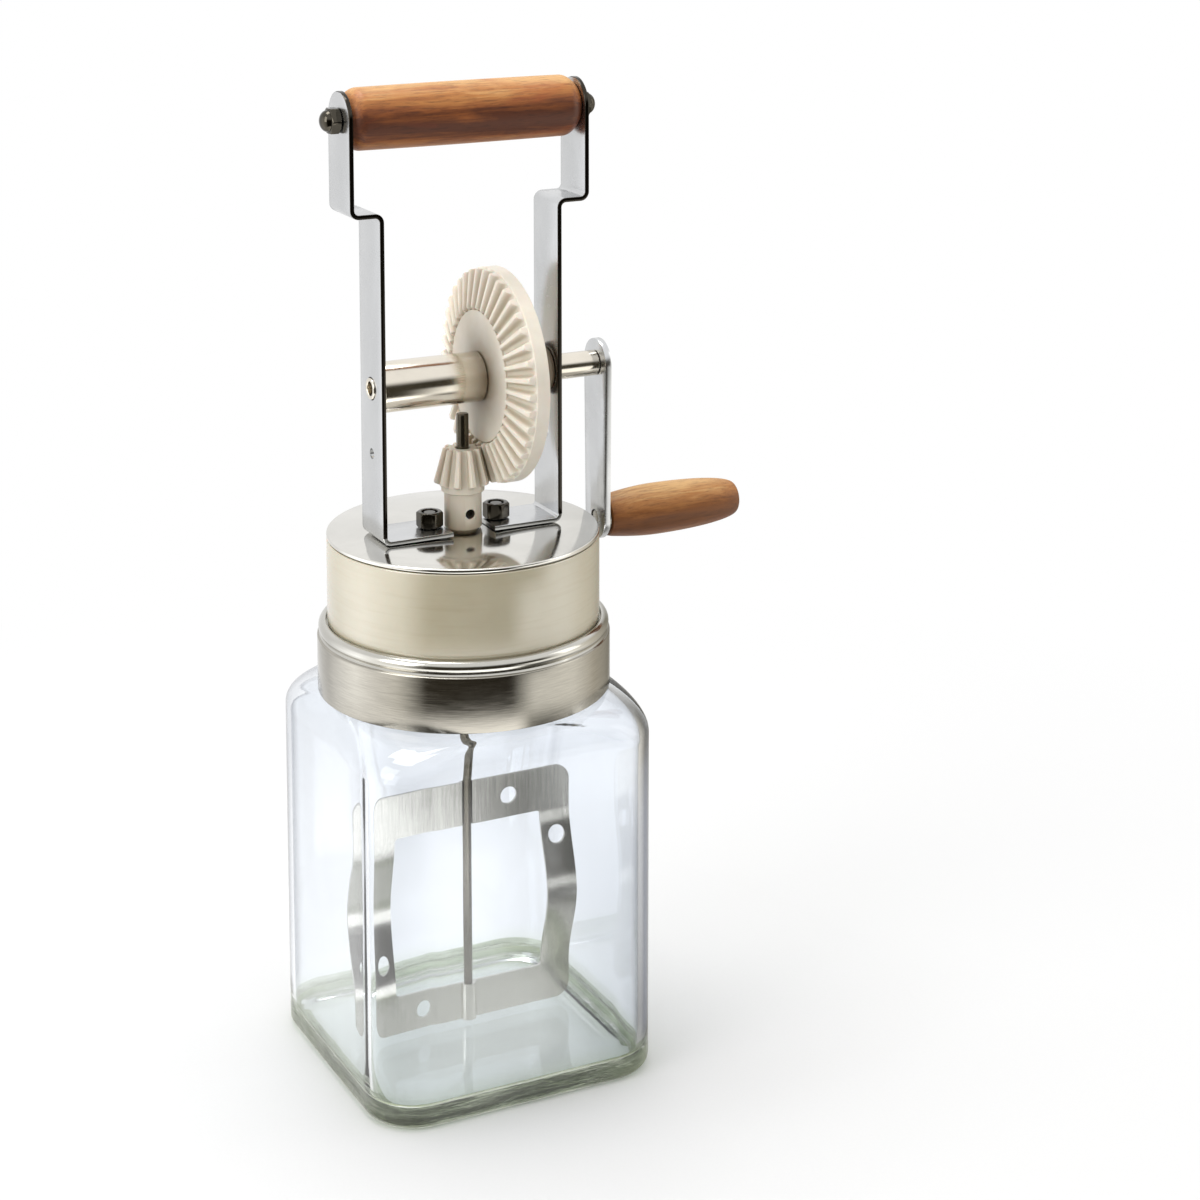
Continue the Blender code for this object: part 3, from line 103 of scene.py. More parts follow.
# Rings on the hollow underside, from its middle out: half width, corner radius and height
UNDERSIDE = (
    (0.012, 0.0054, 0.0012),
    (0.03, 0.0135, 0.00115),
    (0.0405, 0.014, 0.0009),
    (0.0432, 0.013, 0.0004),
    (0.0452, 0.0125, 0.0),
)

# Radii
PLATE_RADIUS = 0.046
PLATE_BORE = 0.0053
BOLT_RADIUS = 0.0024
BOLT_BORE = 0.0027
SHAFT_RADIUS = 0.0044
SHAFT_BORE = 0.0047
ROD_RADIUS = 0.0015
GRUB_BORE = 0.0017
LINER_BORE = 0.0475

# Room between a piece and the one that it turns in or sits on
PLAY = 0.0003

# Uprights, crank and grips
STRAP_OUTER_X = 0.03265
STRAP_THICKNESS = 0.0015
STRAP_HALF_WIDTH = 0.0095
HANDLE_OUTER_X = 0.0429
TOP_GRIP_HALF = 0.0411
TOP_GRIP_END = 0.0048
ARM_X = 0.0497
ARM_THICKNESS = 0.0024
ARM_REACH = 0.0547
GRIP_X = 0.0535
GRIP_LENGTH = 0.0508
BOLT_X = 0.0122
SIDES = (("left", -1), ("right", 1))

# Gears
GEAR_TEETH = 40
PINION_TEETH = 10
GEAR_PITCH_RADIUS = 0.036
PITCH_SLOPE = PINION_TEETH / GEAR_TEETH
TOOTH_THICKNESS = 0.00255
PRESSURE_ANGLE = math.radians(20)

# Nuts: flats, angles of a ring's points, crowded at the six corners, and depths from an end
FOOT_NUT_FLATS = 0.008
CAP_NUT_FLATS = 0.0082
NUT_ANGLES = [
    math.radians(60 * sector + off)
    for sector in range(6)
    for off in (-30, -28.5, -24, -16, -8, 0, 8, 16, 24, 28.5)
]
NUT_END_DEPTHS = (0.0, 0.00008, 0.00018, 0.0003, 0.00045)

# Paddle
PADDLE_WIDTH = 0.077
PADDLE_BOTTOM_Z = 0.0088
PADDLE_TOP_Z = 0.094
PADDLE_SHEET = 0.001
PADDLE_TOP_BAR = 0.0155
PADDLE_BOTTOM_BAR = 0.013
PADDLE_SIDE_BAR = 0.011
WINDOW_BOTTOM_Z = PADDLE_BOTTOM_Z + PADDLE_BOTTOM_BAR
WINDOW_TOP_Z = PADDLE_TOP_Z - PADDLE_TOP_BAR
BOW_START_X = PADDLE_WIDTH / 2 - PADDLE_SIDE_BAR - 0.0015
BOW_EASE = 0.006
BOW_DEPTH = 0.0065


def on_circle(radius, angle):
    return radius * math.cos(angle), radius * math.sin(angle)


def circle(radius, height, steps=FINE_STEPS):
    """A level ring of points."""
    return [(*on_circle(radius, math.tau * index / steps), height) for index in range(steps)]


def quarter(step, steps):
    """Sine and cosine of a step of a quarter turn."""
    angle = math.pi / 2 * step / steps
    return math.sin(angle), math.cos(angle)


def arc(centre, radius, start, end, steps):
    """Points of an arc in a plane, angles in degrees, both ends included."""
    points = []
    for step in range(steps + 1):
        x, y = on_circle(radius, math.radians(start + (end - start) * step / steps))
        points.append((centre[0] + x, centre[1] + y))
    return points


def soften(corners, closed=True, steps=4):
    """A path through corners (a, b) or (a, b, radius), each of the latter rounded to its radius."""
    points = []
    count = len(corners)
    for index, corner in enumerate(corners):
        radius = corner[2] if len(corner) > 2 else 0
        if not radius or (not closed and index in (0, count - 1)):
            points.append(tuple(corner[:2]))
            continue
        middle = Vector(corner[:2])
        back = (Vector(corners[index - 1][:2]) - middle).normalized()
        ahead = (Vector(corners[(index + 1) % count][:2]) - middle).normalized()
        half_angle = back.angle(ahead) / 2
        reach = radius / math.tan(half_angle)
        centre = middle + (back + ahead).normalized() * radius / math.sin(half_angle)
        first = middle + back * reach - centre
        turn = first.angle_signed(middle + ahead * reach - centre)
        start = math.atan2(first.y, first.x)
        for step in range(steps + 1):
            x, y = on_circle(radius, start - turn * step / steps)
            points.append((centre.x + x, centre.y + y))
    return points


def along_z(x, y, z):
    return (x, y, z)


def along_x(x, y, z):
    """Lays a piece's own Z axis along +X."""
    return (z, y, -x)


def along_minus_x(x, y, z):
    return (-z, y, x)


def along_minus_y(x, y, z):
    return (x, -z, y)


def upside_down(x, y, z):
    return (x, -y, -z)


def placed(rings, lay, centre):
    """Rings of points laid another way and moved to a centre."""
    laid = [[lay(*point) for point in ring] for ring in rings]
    return [[(x + centre[0], y + centre[1], z + centre[2]) for x, y, z in ring] for ring in laid]


def finished(bm):
    """The mesh of a bmesh, its faces turned outwards."""
    bmesh.ops.recalc_face_normals(bm, faces=bm.faces)
    mesh = bpy.data.meshes.new("shape")
    bm.to_mesh(mesh)
    bm.free()
    return mesh


def loft(rings, wrap=False):
    """A skin over rings of points, closed at both ends. With wrap, the last ring joins the first instead."""
    bm = bmesh.new()
    made = [[bm.verts.new(point) for point in ring] for ring in rings]
    for lower, upper in zip(made, made[1:] + made[:1] if wrap else made[1:]):
        count = max(len(lower), len(upper))
        for index in range(count):
            following = (index + 1) % count
            if len(lower) == 1:
                bm.faces.new((lower[0], upper[following], upper[index]))
            elif len(upper) == 1:
                bm.faces.new((lower[index], lower[following], upper[0]))
            else:
                bm.faces.new((lower[index], lower[following], upper[following], upper[index]))
    for end in (made[0], made[-1]):
        if not wrap and len(end) > 1:
            bm.faces.new(end)
    return finished(bm)


def turned(profile, steps=ROUND_STEPS, lay=along_z, centre=(0, 0, 0), closed=True):
    """A profile of (radius, height) points turned about the piece's own Z axis."""
    rings = [circle(radius, height, steps) if radius else [(0, 0, height)] for radius, height in profile]
    return loft(placed(rings, lay, centre), wrap=closed)


def turned_solid(corners, steps=ROUND_STEPS, lay=along_z, centre=(0, 0, 0)):
    """The same for an outline that starts and ends on the axis, its corners softened."""
    return turned(soften(corners, closed=False), steps, lay, centre, closed=False)


def tube(inner, outer, bottom, top, edge, steps=ROUND_STEPS, lay=along_z, centre=(0, 0, 0)):
    """A plain ring with softened edges."""
    corners = [(outer, top, edge), (outer, bottom, edge), (inner, bottom, edge), (inner, top, edge)]
    return turned(soften(corners, steps=3), steps, lay, centre)


def linked(name, data):
    """A new object in the scene."""
    thing = bpy.data.objects.new(name, data)
    bpy.context.scene.collection.objects.link(thing)
    return thing


def applied(mesh, kind, *changes):
    """The mesh after one modifier of a kind for each dictionary of settings."""
    piece = linked("work", mesh)
    for settings in changes:
        modifier = piece.modifiers.new("change", kind)
        for key, value in settings.items():
            setattr(modifier, key, value)
    bpy.context.view_layer.update()
    shape = piece.evaluated_get(bpy.context.evaluated_depsgraph_get())
    result = bpy.data.meshes.new_from_object(shape)
    bpy.data.objects.remove(piece, do_unlink=True)
    return result


def carved(mesh, cutters, operation="DIFFERENCE"):
    """The mesh after every cutter mesh has been taken from it, or crossed with it."""
    helpers = [linked("cutter", cutter) for cutter in cutters]
    cuts = [{"operation": operation, "solver": "EXACT", "object": helper} for helper in helpers]
    result = applied(mesh, "BOOLEAN", *cuts)
    for helper in helpers:
        bpy.data.objects.remove(helper, do_unlink=True)
    return result


def welded(mesh):
    """The same mesh without the hairline gaps that a cut leaves."""
    reach = 0.000002
    bm = bmesh.new()
    bm.from_mesh(mesh)
    bmesh.ops.remove_doubles(bm, verts=bm.verts, dist=reach)
    bmesh.ops.dissolve_degenerate(bm, edges=bm.edges, dist=reach)
    open_edges = [edge for edge in bm.edges if edge.is_boundary]
    bmesh.ops.holes_fill(bm, edges=open_edges, sides=4)
    bm.to_mesh(mesh)
    bm.free()
    return mesh


def peg(radius, length, centre, lay=along_z):
    """A plain cylinder that cuts a hole, centred."""
    half = length / 2
    profile = [(0, half), (radius, half), (radius, -half), (0, -half)]
    return turned(profile, SMALL_STEPS, lay, centre, closed=False)


def block(size, centre):
    bm = bmesh.new()
    bmesh.ops.create_cube(bm, size=1.0)
    bmesh.ops.scale(bm, verts=bm.verts, vec=size)
    bmesh.ops.translate(bm, verts=bm.verts, vec=centre)
    return finished(bm)


def dress(node, mesh, *looks, smooth_angle=32, pick=None):
    """Shows the mesh in place of a CAD node, on its body. pick(centre) names a face's look by its index."""
    mesh.name = node
    piece = linked(node + "_detail", mesh)
    mesh.materials.clear()
    for look in looks:
        mesh.materials.append(LOOKS[look])
    if pick:
        for face in mesh.polygons:
            face.material_index = pick(face.center)
    mesh.shade_smooth()
    mesh.set_sharp_from_angle(angle=math.radians(smooth_angle))
    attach(piece, frame["nodes"][node]["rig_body"])
    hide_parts(node)


def carry(node, look):
    """Keeps a CAD node's own shape and gives it a finish."""
    mesh = frame["nodes"][node].data
    mesh.materials.clear()
    mesh.materials.append(LOOKS[look])


def colour(red, green, blue):
    """A colour written in 0 to 255 steps as the shader's linear values."""
    linear = []
    for value in (red, green, blue):
        share = value / 255
        linear.append(share / 12.92 if share <= 0.04045 else ((share + 0.055) / 1.055) ** 2.4)
    return (*linear, 1.0)


def dimmed(tint, share):
    return colour(*(value * share for value in tint))


def add_node(tree, kind, inputs=None, **settings):
    """A node with its settings made, and each input set to a value or linked to a socket."""
    node = tree.nodes.new(kind)
    for name, value in settings.items():
        setattr(node, name, value)
    for name, value in (inputs or {}).items():
        if isinstance(value, bpy.types.NodeSocket):
            tree.links.new(value, node.inputs[name])
        else:
            node.inputs[name].default_value = value
    return node


def node_after(kind, inputs, **settings):
    """A node in the tree of the first socket that feeds it."""
    feeding = next(value for value in inputs.values() if isinstance(value, bpy.types.NodeSocket))
    return add_node(feeding.id_data, kind, inputs, **settings)


def math_node(operation, first, second=0.0):
    return node_after("ShaderNodeMath", {0: first, 1: second}, operation=operation).outputs[0]


def times(first, second):
    return math_node("MULTIPLY", first, second)


def plus(first, second):
    return math_node("ADD", first, second)


def ramp(factor, stops):
    """A colour ramp through (place, colour) stops, the first at 0 and the second at 1."""
    node = node_after("ShaderNodeValToRGB", {"Fac": factor})
    elements = node.color_ramp.elements
    for element, (place, tint) in zip(elements, stops[:2]):
        element.position = place
        element.color = tint
    for place, tint in stops[2:]:
        elements.new(place).color = tint
    return node.outputs["Color"]


def mixed(factor, first, second):
    """Two colours mixed: the first at 0, the second at 1."""
    return node_after("ShaderNodeMix", {0: factor, 6: first, 7: second}, data_type="RGBA").outputs[2]


def spread(value, low, high, to_low=0.0, to_high=1.0):
    """A value moved from one range to another, and kept in it."""
    inputs = {"Value": value, "From Min": low, "From Max": high, "To Min": to_low, "To Max": to_high}
    return node_after("ShaderNodeMapRange", inputs, clamp=True).outputs["Result"]


def object_place(tree):
    return add_node(tree, "ShaderNodeTexCoord").outputs["Object"]


def split(vector):
    return node_after("ShaderNodeSeparateXYZ", {"Vector": vector}).outputs


def place_vector(tree, scale=(1, 1, 1)):
    """Where a point is on the piece, stretched by scale."""
    return node_after("ShaderNodeMapping", {"Vector": object_place(tree), "Scale": scale}).outputs["Vector"]


def ring_vector(tree, round_scale, up_scale):
    """A point's place round the Z axis and its height, for marks that run round a piece."""
    parts = split(object_place(tree))
    turn = math_node("ARCTAN2", parts["Y"], parts["X"])
    inputs = {
        "X": times(math_node("SINE", turn), round_scale),
        "Y": times(math_node("COSINE", turn), round_scale),
        "Z": times(parts["Z"], up_scale),
    }
    return node_after("ShaderNodeCombineXYZ", inputs).outputs["Vector"]


def noise(vector, scale, detail, roughness, distortion=0.0):
    inputs = {"Vector": vector, "Scale": scale, "Detail": detail}
    inputs.update({"Roughness": roughness, "Distortion": distortion})
    return node_after("ShaderNodeTexNoise", inputs).outputs["Fac"]


def grain(tree, scale, detail, roughness, distortion=0.0):
    """Noise over a piece. Its scale is one number, or three for marks that run along an axis."""
    stretch, size = (scale, 1.0) if isinstance(scale, tuple) else ((1, 1, 1), scale)
    return noise(place_vector(tree, stretch), size, detail, roughness, distortion)


def bump(height, strength, distance, below=None):
    """Bump from a height, on top of the bump below it."""
    inputs = {"Height": height, "Strength": strength, "Distance": distance}
    if below is not None:
        inputs["Normal"] = below
    return node_after("ShaderNodeBump", inputs).outputs["Normal"]


def new_look(name, **values):
    """A material whose shader's sockets start at these values."""
    material = bpy.data.materials.new(name)
    material.use_nodes = True
    shader = material.node_tree.nodes["Principled BSDF"]
    for key, value in values.items():
        shader.inputs[key.replace("_", " ")].default_value = value
    return material, material.node_tree, shader


def feed(shader, **sockets):
    for key, socket in sockets.items():
        shader.id_data.links.new(socket, shader.inputs[key.replace("_", " ")])


def polished_steel(name, tint, low, high, stretch=(2400, 2400, 90)):
    """Mirror steel with faint polishing lines, wiped smudges and a few fine scratches."""
    material, tree, shader = new_look(name, Metallic=1.0)
    smudge = grain(tree, 38, 6, 0.6, 0.4)
    lines = grain(tree, stretch, 3, 0.6)
    scratched = spread(grain(tree, (90, 700, 2600), 2, 0.5, 0.6), 0.66, 0.7)
    rough = plus(spread(smudge, 0.35, 0.72, low, high), times(scratched, 0.05))
    base = mixed(spread(smudge, 0.3, 0.75), colour(*tint), dimmed(tint, 0.93))
    normal = bump(scratched, 0.08, 0.00002, bump(lines, 0.06, 0.00006))
    feed(shader, Base_Color=base, Roughness=rough, Normal=normal)
    return material


def brushed_steel(name, tint, vector_of, low, high, anisotropic=0.0, turn=0.0):
    """Satin steel with fine brush marks that run one way."""
    values = {"Anisotropic": anisotropic, "Anisotropic_Rotation": turn}
    material, tree, shader = new_look(name, Metallic=1.0, **values)
    marks = noise(vector_of(tree), 1.0, 5, 0.68)
    cloud = grain(tree, 22, 4, 0.6)
    dull = dimmed(tint, 0.86)
    base = mixed(spread(marks, 0.3, 0.7), dull, colour(*tint))
    base = mixed(spread(cloud, 0.4, 0.75, 0.0, 0.35), base, dull)
    cloud_rough = spread(cloud, 0.4, 0.8, 0.0, 0.05)
    rough = plus(spread(marks, 0.3, 0.7, low, high), cloud_rough)
    feed(shader, Base_Color=base, Roughness=rough, Normal=bump(marks, 0.16, 0.00005))
    if anisotropic:
        tangent = add_node(tree, "ShaderNodeTangent", direction_type="RADIAL", axis="Z")
        feed(shader, Tangent=tangent.outputs["Tangent"])
    return material


def moulded_nylon(name, tint, shade, painted_shadow=None):
    """Off-white nylon, a little translucent, with painted shade in its recesses and, given a third colour, a
    painted shadow on its face round the crank's axis.
    """
    values = {"Subsurface_Weight": 0.2, "Subsurface_Scale": 0.003, "Specular_IOR_Level": 0.4}
    material, tree, shader = new_look(name, **values)
    cloud = grain(tree, 55, 5, 0.6)
    # Painted shade: ambient occlusion darkens the recesses towards the shade colour.
    recess_shade = add_node(tree, "ShaderNodeAmbientOcclusion", {"Distance": 0.01}, samples=8).outputs["AO"]
    base = mixed(spread(cloud, 0.3, 0.75, 0.0, 0.3), colour(*tint), colour(*shade))
    base = mixed(spread(recess_shade, 0.2, 0.9, 0.85, 0.0), base, colour(*shade))
    # Painted shadow: the face darkens towards the crank's axis, most on its near side, for the shade that
    # falls beside the spacer tube.
    if painted_shadow:
        inputs = {0: object_place(tree), 1: (0, 0, -CRANK_Z)}
        from_axis = node_after("ShaderNodeVectorMath", inputs, operation="ADD").outputs["Vector"]
        parts = split(from_axis)
        squares = [times(parts[axis], parts[axis]) for axis in ("Y", "Z")]
        radius = math_node("SQRT", plus(*squares))
        inner = spread(radius, 0.008, 0.0255, 1.0, 0.0)
        shadow_side = spread(parts["Y"], 0.014, -0.01, 0.5, 0.95)
        base = mixed(times(inner, shadow_side), base, colour(*painted_shadow))
    rough = spread(cloud, 0.3, 0.7, 0.36, 0.5)
    normal = bump(grain(tree, 1400, 3, 0.6), 0.12, 0.00004)
    feed(shader, Base_Color=base, Roughness=rough, Normal=normal)
    return material


def satin_silicone():
    """Cream silicone with a satin skin, faint flow marks and dust."""
    values = {"Coat_Weight": 1.0, "Coat_Roughness": 0.2, "Coat_IOR": 2.3}
    values.update({"Subsurface_Weight": 0.08, "Subsurface_Scale": 0.002})
    material, tree, shader = new_look("cream_silicone", **values)
    cloud = grain(tree, 30, 5, 0.6)
    flow = noise(ring_vector(tree, 0.6, 260), 3.0, 4, 0.6)
    base = mixed(spread(cloud, 0.3, 0.75), colour(184, 175, 149), colour(174, 164, 137))
    base = mixed(spread(flow, 0.5, 0.8, 0.0, 0.3), base, colour(158, 148, 118))
    rough = spread(flow, 0.3, 0.7, 0.36, 0.46)
    normal = bump(grain(tree, 1600, 2, 0.5), 0.1, 0.00003)
    feed(shader, Base_Color=base, Roughness=rough, Normal=normal)
    return material


def oiled_wood(name, axis_z, radius, tones):
    """Turned, oiled wood: tones painted by height as light and shade, palest along its top and darkest on its
    lower half, with streaks and fine pores.
    """
    deep, dark, middle, golden, pale, blush = (colour(*tone) for tone in tones)
    values = {"Coat_Weight": 0.1, "Coat_Roughness": 0.35, "Specular_IOR_Level": 0.35}
    material, tree, shader = new_look(name, **values)
    warp = grain(tree, (22, 90, 90), 4, 0.6, 0.6)
    streak = grain(tree, (16, 330, 330), 7, 0.7, 0.9)
    flecks = grain(tree, (150, 1500, 1500), 3, 0.65)
    pores = grain(tree, (190, 2600, 2600), 3, 0.6)
    patch = grain(tree, (30, 60, 60), 3, 0.5, 0.5)
    # Painted light and shade: the ramp by height round the grip's axis puts the pale tone along the top, dark
    # on the lower half and golden at the very bottom.
    height = spread(split(object_place(tree))["Z"], axis_z - radius, axis_z + radius)
    height = plus(height, spread(warp, 0.3, 0.7, -0.13, 0.13))
    height = plus(height, spread(streak, 0.3, 0.7, -0.12, 0.12))
    stops = [(0.0, golden), (1.0, pale), (0.16, middle), (0.3, dark)]
    stops += [(0.46, dark), (0.62, middle), (0.82, golden)]
    base = ramp(height, stops)
    base = mixed(spread(flecks, 0.5, 0.72, 0.0, 0.5), base, deep)
    base = mixed(spread(patch, 0.56, 0.74, 0.0, 0.6), base, blush)
    open_pores = spread(pores, 0.6, 0.7)
    base = mixed(times(open_pores, 0.45), base, deep)
    rough = plus(spread(streak, 0.3, 0.7, 0.42, 0.55), times(open_pores, 0.15))
    normal = bump(times(open_pores, -1.0), 0.25, 0.00006, bump(streak, 0.12, 0.0001))
    feed(shader, Base_Color=base, Roughness=rough, Normal=normal)
    return material


# Wood tones, from the deepest to the palest, and a redder one; the dark and pale ones are laid by height as
# painted shade below and painted light along the top
TOP_WOOD = ((50, 21, 6), (84, 40, 14), (132, 72, 27), (170, 110, 52), (196, 150, 94), (150, 58, 22))
CRANK_WOOD = ((78, 44, 18), (108, 63, 26), (126, 75, 31), (158, 104, 51), (192, 150, 96), (140, 78, 32))


def shader_mix(factor, first, second):
    return node_after("ShaderNodeMixShader", {0: factor, 1: first, 2: second}).outputs["Shader"]


def show(surface):
    tree = surface.id_data
    tree.links.new(surface, tree.nodes["Material Output"].inputs["Surface"])


def let_lamps_through(shader, tint):
    """Shadow rays pass straight through the glass with this tint."""
    tree = shader.id_data
    through = add_node(tree, "ShaderNodeBsdfTransparent", {"Color": tint}).outputs["BSDF"]
    rays = add_node(tree, "ShaderNodeLightPath").outputs
    show(shader_mix(rays["Is Shadow Ray"], shader.outputs["BSDF"], through))


def corner_share(tree):
    """The height, after 0 on the jar's flat sides to 1 at its upright corners, where glass is thickest and
    the clear glass is given painted shade.
    """
    parts = split(object_place(tree))
    across, along = (math_node("ABSOLUTE", parts[axis]) for axis in ("X", "Y"))
    share = spread(math_node("MINIMUM", across, along), 0.024, 0.045)
    return math_node("POWER", share, 1.6), parts["Z"]


def jar_glass():
    """Clear pressed glass: nearly colourless, with painted grey shade where a thick corner or a wall is seen
    edge on, faintly wavy.
    """
    material, tree, shader = new_look("jar_glass", Transmission_Weight=1.0, IOR=1.5, Roughness=0.0)
    corner, height = corner_share(tree)
    facing = add_node(tree, "ShaderNodeLayerWeight", {"Blend": 0.5}).outputs["Facing"]
    # Painted shade: blue-grey darkening at the corners grows as the surface turns edge on, then darker still
    # at grazing, for the jar's dark edges; at corners partly thicker-glass tint.
    edge_on_shade = times(corner, spread(facing, 0.4, 0.62, 0.12, 1.0))
    base = mixed(edge_on_shade, colour(246, 249, 253), colour(84, 90, 106))
    base = mixed(spread(facing, 0.72, 0.98), base, colour(64, 70, 82))
    low = spread(height, BASE_GLASS_Z, BASE_GLASS_Z + 0.006, 0.5, 0.0)
    base = mixed(low, base, colour(224, 231, 220))
    waves = grain(tree, (26, 26, 14), 2, 0.4)
    feed(shader, Base_Color=base, Normal=bump(waves, 0.22, 0.0012))
    let_lamps_through(shader, colour(240, 243, 242))
    return material


def thick_glass():
    """The green of the thick base, streaked by pressing, darkest at its corners and along its lowest edge."""
    material, tree, shader = new_look("jar_base_glass", Transmission_Weight=0.8, IOR=1.5, Roughness=0.12)
    corner, height = corner_share(tree)
    streaks = grain(tree, (45, 45, 420), 4, 0.6, 0.8)
    patches = grain(tree, (70, 70, 120), 3, 0.6)
    cloud = times(plus(streaks, patches), 0.5)
    pale = mixed(spread(cloud, 0.4, 0.6), colour(228, 235, 222), colour(172, 186, 158))
    olive = mixed(spread(cloud, 0.4, 0.62), colour(138, 154, 104), colour(70, 86, 42))
    depth = spread(height, 0.002, BASE_GLASS_Z, 1.0, 0.35)
    base = mixed(times(spread(corner, 0.0, 0.6, 0.65, 1.0), depth), pale, olive)
    feed(shader, Base_Color=base, Normal=bump(cloud, 0.8, 0.0022))
    let_lamps_through(shader, colour(214, 222, 210))
    return material


def round_marks(tree):
    return ring_vector(tree, 6, 2600)


def upright_marks(tree):
    return place_vector(tree, (1800, 1800, 60))


def across_marks(tree):
    return place_vector(tree, (60, 1800, 1800))


def rounded_square_point(angle, half_width, corner):
    x = abs(math.cos(angle))
    y = abs(math.sin(angle))
    straight = half_width - corner
    reach = half_width / max(x, y)
    if reach * min(x, y) > straight:
        along = straight * (x + y)
        reach = along + math.sqrt(max(along * along - 2 * straight * straight + corner * corner, 0))
    return on_circle(reach, angle)


def square_ring(half_width, corner, height):
    """A ring of points round a rounded square, crowded at its corners."""
    crowding = 1 - corner / half_width
    ring = []
    for index in range(JAR_STEPS):
        even = math.tau * index / JAR_STEPS
        angle = even + crowding / 4 * math.sin(4 * even)
        ring.append((*rounded_square_point(angle, half_width, corner), height))
    return ring


def thread_height(angle, height):
    """How far a thread bead stands out at a place on the neck, as a share of its full height."""
    fade_turns = 0.03
    bead_half = 0.0009
    best = 0.0
    for lap in (0, 1):
        turns = (-angle / math.tau) % 1 + lap
        if turns > THREAD_TURNS:
            continue
        fade = min(turns, THREAD_TURNS - turns) / fade_turns
        off = abs(height - (THREAD_TOP_Z - THREAD_PITCH * turns)) / bead_half
        if off < 1:
            best = max(best, math.cos(math.pi / 2 * off) * min(fade, 1))
    return best


def bottom_rings(half, corner, radius, bottom, steps):
    """Rings round the rounded lower edge of a square wall."""
    rings = []
    for step in steps:
        sine, cosine = quarter(step, 8)
        inset = radius * (1 - sine)
        rings.append(square_ring(half - inset, corner - inset, bottom + radius * (1 - cosine)))
    return rings


def wall_rings(half, corner, bottom, top, steps):
    return [square_ring(half, corner, bottom + (top - bottom) * step / 12) for step in steps]


def shoulder_rings(half, corner, neck, start, rise, steps):
    """Rings from a square wall up to a round neck."""
    rings = []
    for step in steps:
        sine, cosine = quarter(step, 18)
        inward = 1 - cosine
        width = half + (neck - half) * inward
        rings.append(square_ring(width, corner + (neck - corner) * inward, start + rise * sine))
    return rings


def neck_rings():
    """Rings up the outside of the neck, with the thread's bead."""
    start = JAR_SIDE_HEIGHT + SHOULDER_RISE
    bead = 0.0014
    rings = []
    for step in range(1, 65):
        height = start + (RIM_Z - 0.0006 - start) * step / 64
        ring = []
        for x, y, z in square_ring(NECK_RADIUS, NECK_RADIUS, height):
            out = 1 + bead / NECK_RADIUS * thread_height(math.atan2(y, x), z)
            ring.append((x * out, y * out, z))
        rings.append(ring)
    return rings


def jar_rings():
    """Rings from the middle of the jar's underside, up its outside, over the rim and down to its floor."""
    outside = (JAR_HALF, JAR_CORNER)
    inside = (JAR_HALF - JAR_WALL, JAR_CORNER - JAR_WALL)
    rings = [[(0, 0, 0.0012)]] + [square_ring(*sizes) for sizes in UNDERSIDE]
    rings += bottom_rings(*outside, FOOT_ROUND, 0, range(9))
    rings += [square_ring(*outside, height) for height in (0.0062, BASE_GLASS_Z)]
    rings += wall_rings(*outside, BASE_GLASS_Z, JAR_SIDE_HEIGHT, range(1, 13))
    rings += shoulder_rings(*outside, NECK_RADIUS, JAR_SIDE_HEIGHT, SHOULDER_RISE, range(1, 19))
    rings += neck_rings()
    rim = arc((NECK_RADIUS - RIM_ROUND, RIM_Z - RIM_ROUND), RIM_ROUND, 30, 90, 4)
    rim += arc((NECK_BORE + RIM_ROUND, RIM_Z - RIM_ROUND), RIM_ROUND, 90, 180, 5)
    rings += [square_ring(radius, radius, height) for radius, height in rim]
    start = JAR_SIDE_HEIGHT - JAR_WALL / 2
    rings += shoulder_rings(*inside, NECK_BORE, start, SHOULDER_RISE - JAR_WALL / 2, range(18, -1, -1))
    rings += wall_rings(*inside, JAR_FLOOR + FLOOR_ROUND, start, range(11, 0, -1))
    rings += bottom_rings(*inside, FLOOR_ROUND, JAR_FLOOR, range(8, -1, -1))
    rings += [square_ring(0.032, 0.014, JAR_FLOOR + 0.0001), square_ring(0.012, 0.0054, JAR_FLOOR + 0.0002)]
    rings.append([(0, 0, JAR_FLOOR + 0.0002)])
    return rings


def jar_face(centre):
    """0 on the clear walls, 1 on the outer side and underside of the thick base."""
    straight = JAR_HALF - JAR_CORNER
    under_edge = 0.0434
    out = math.hypot(max(abs(centre.x) - straight, 0), max(abs(centre.y) - straight, 0))
    outer_side = out > JAR_CORNER - JAR_WALL / 2
    under = centre.z < JAR_FLOOR / 2 and max(abs(centre.x), abs(centre.y)) > under_edge
    return int(under or (centre.z < BASE_GLASS_Z and outer_side))


def dress_jar():
    dress("glass_jar", loft(jar_rings()), "glass", "base_glass", smooth_angle=40, pick=jar_face)


def drum_mesh():
    """The sheet-steel drum: its flange, twelve strainer slots and two bolt holes."""
    outer = 0.0444
    flange = 0.0468
    inner = 0.0436
    sheet = 0.0008
    profile = [
        (PLATE_BORE, DRUM_TOP_Z, 0.0001),
        (outer, DRUM_TOP_Z, 0.0009),
        (outer, FLANGE_Z + sheet, 0.0003),
        (flange, FLANGE_Z + sheet, 0.0003),
        (flange, FLANGE_Z, 0.0003),
        (inner, FLANGE_Z, 0.0003),
        (inner, DRUM_TOP_Z - sheet, 0.0005),
        (PLATE_BORE, DRUM_TOP_Z - sheet, 0.0001),
    ]
    cutters = []
    for index in range(12):
        cosine, sine = on_circle(1, math.tau * (index + 0.5) / 12)
        slot = block((0.0038, 0.004, 0.014), (0, 0, 0))
        for vertex in slot.vertices:
            x, y, z = vertex.co
            x += 0.044
            vertex.co = (x * cosine - y * sine, x * sine + y * cosine, z + DRUM_TOP_Z - 0.015)
        cutters.append(slot)
    cutters += [peg(BOLT_BORE, 0.004, (side * BOLT_X, 0, DRUM_TOP_Z)) for _, side in SIDES]
    return welded(carved(turned(soften(profile), FINE_STEPS), cutters))


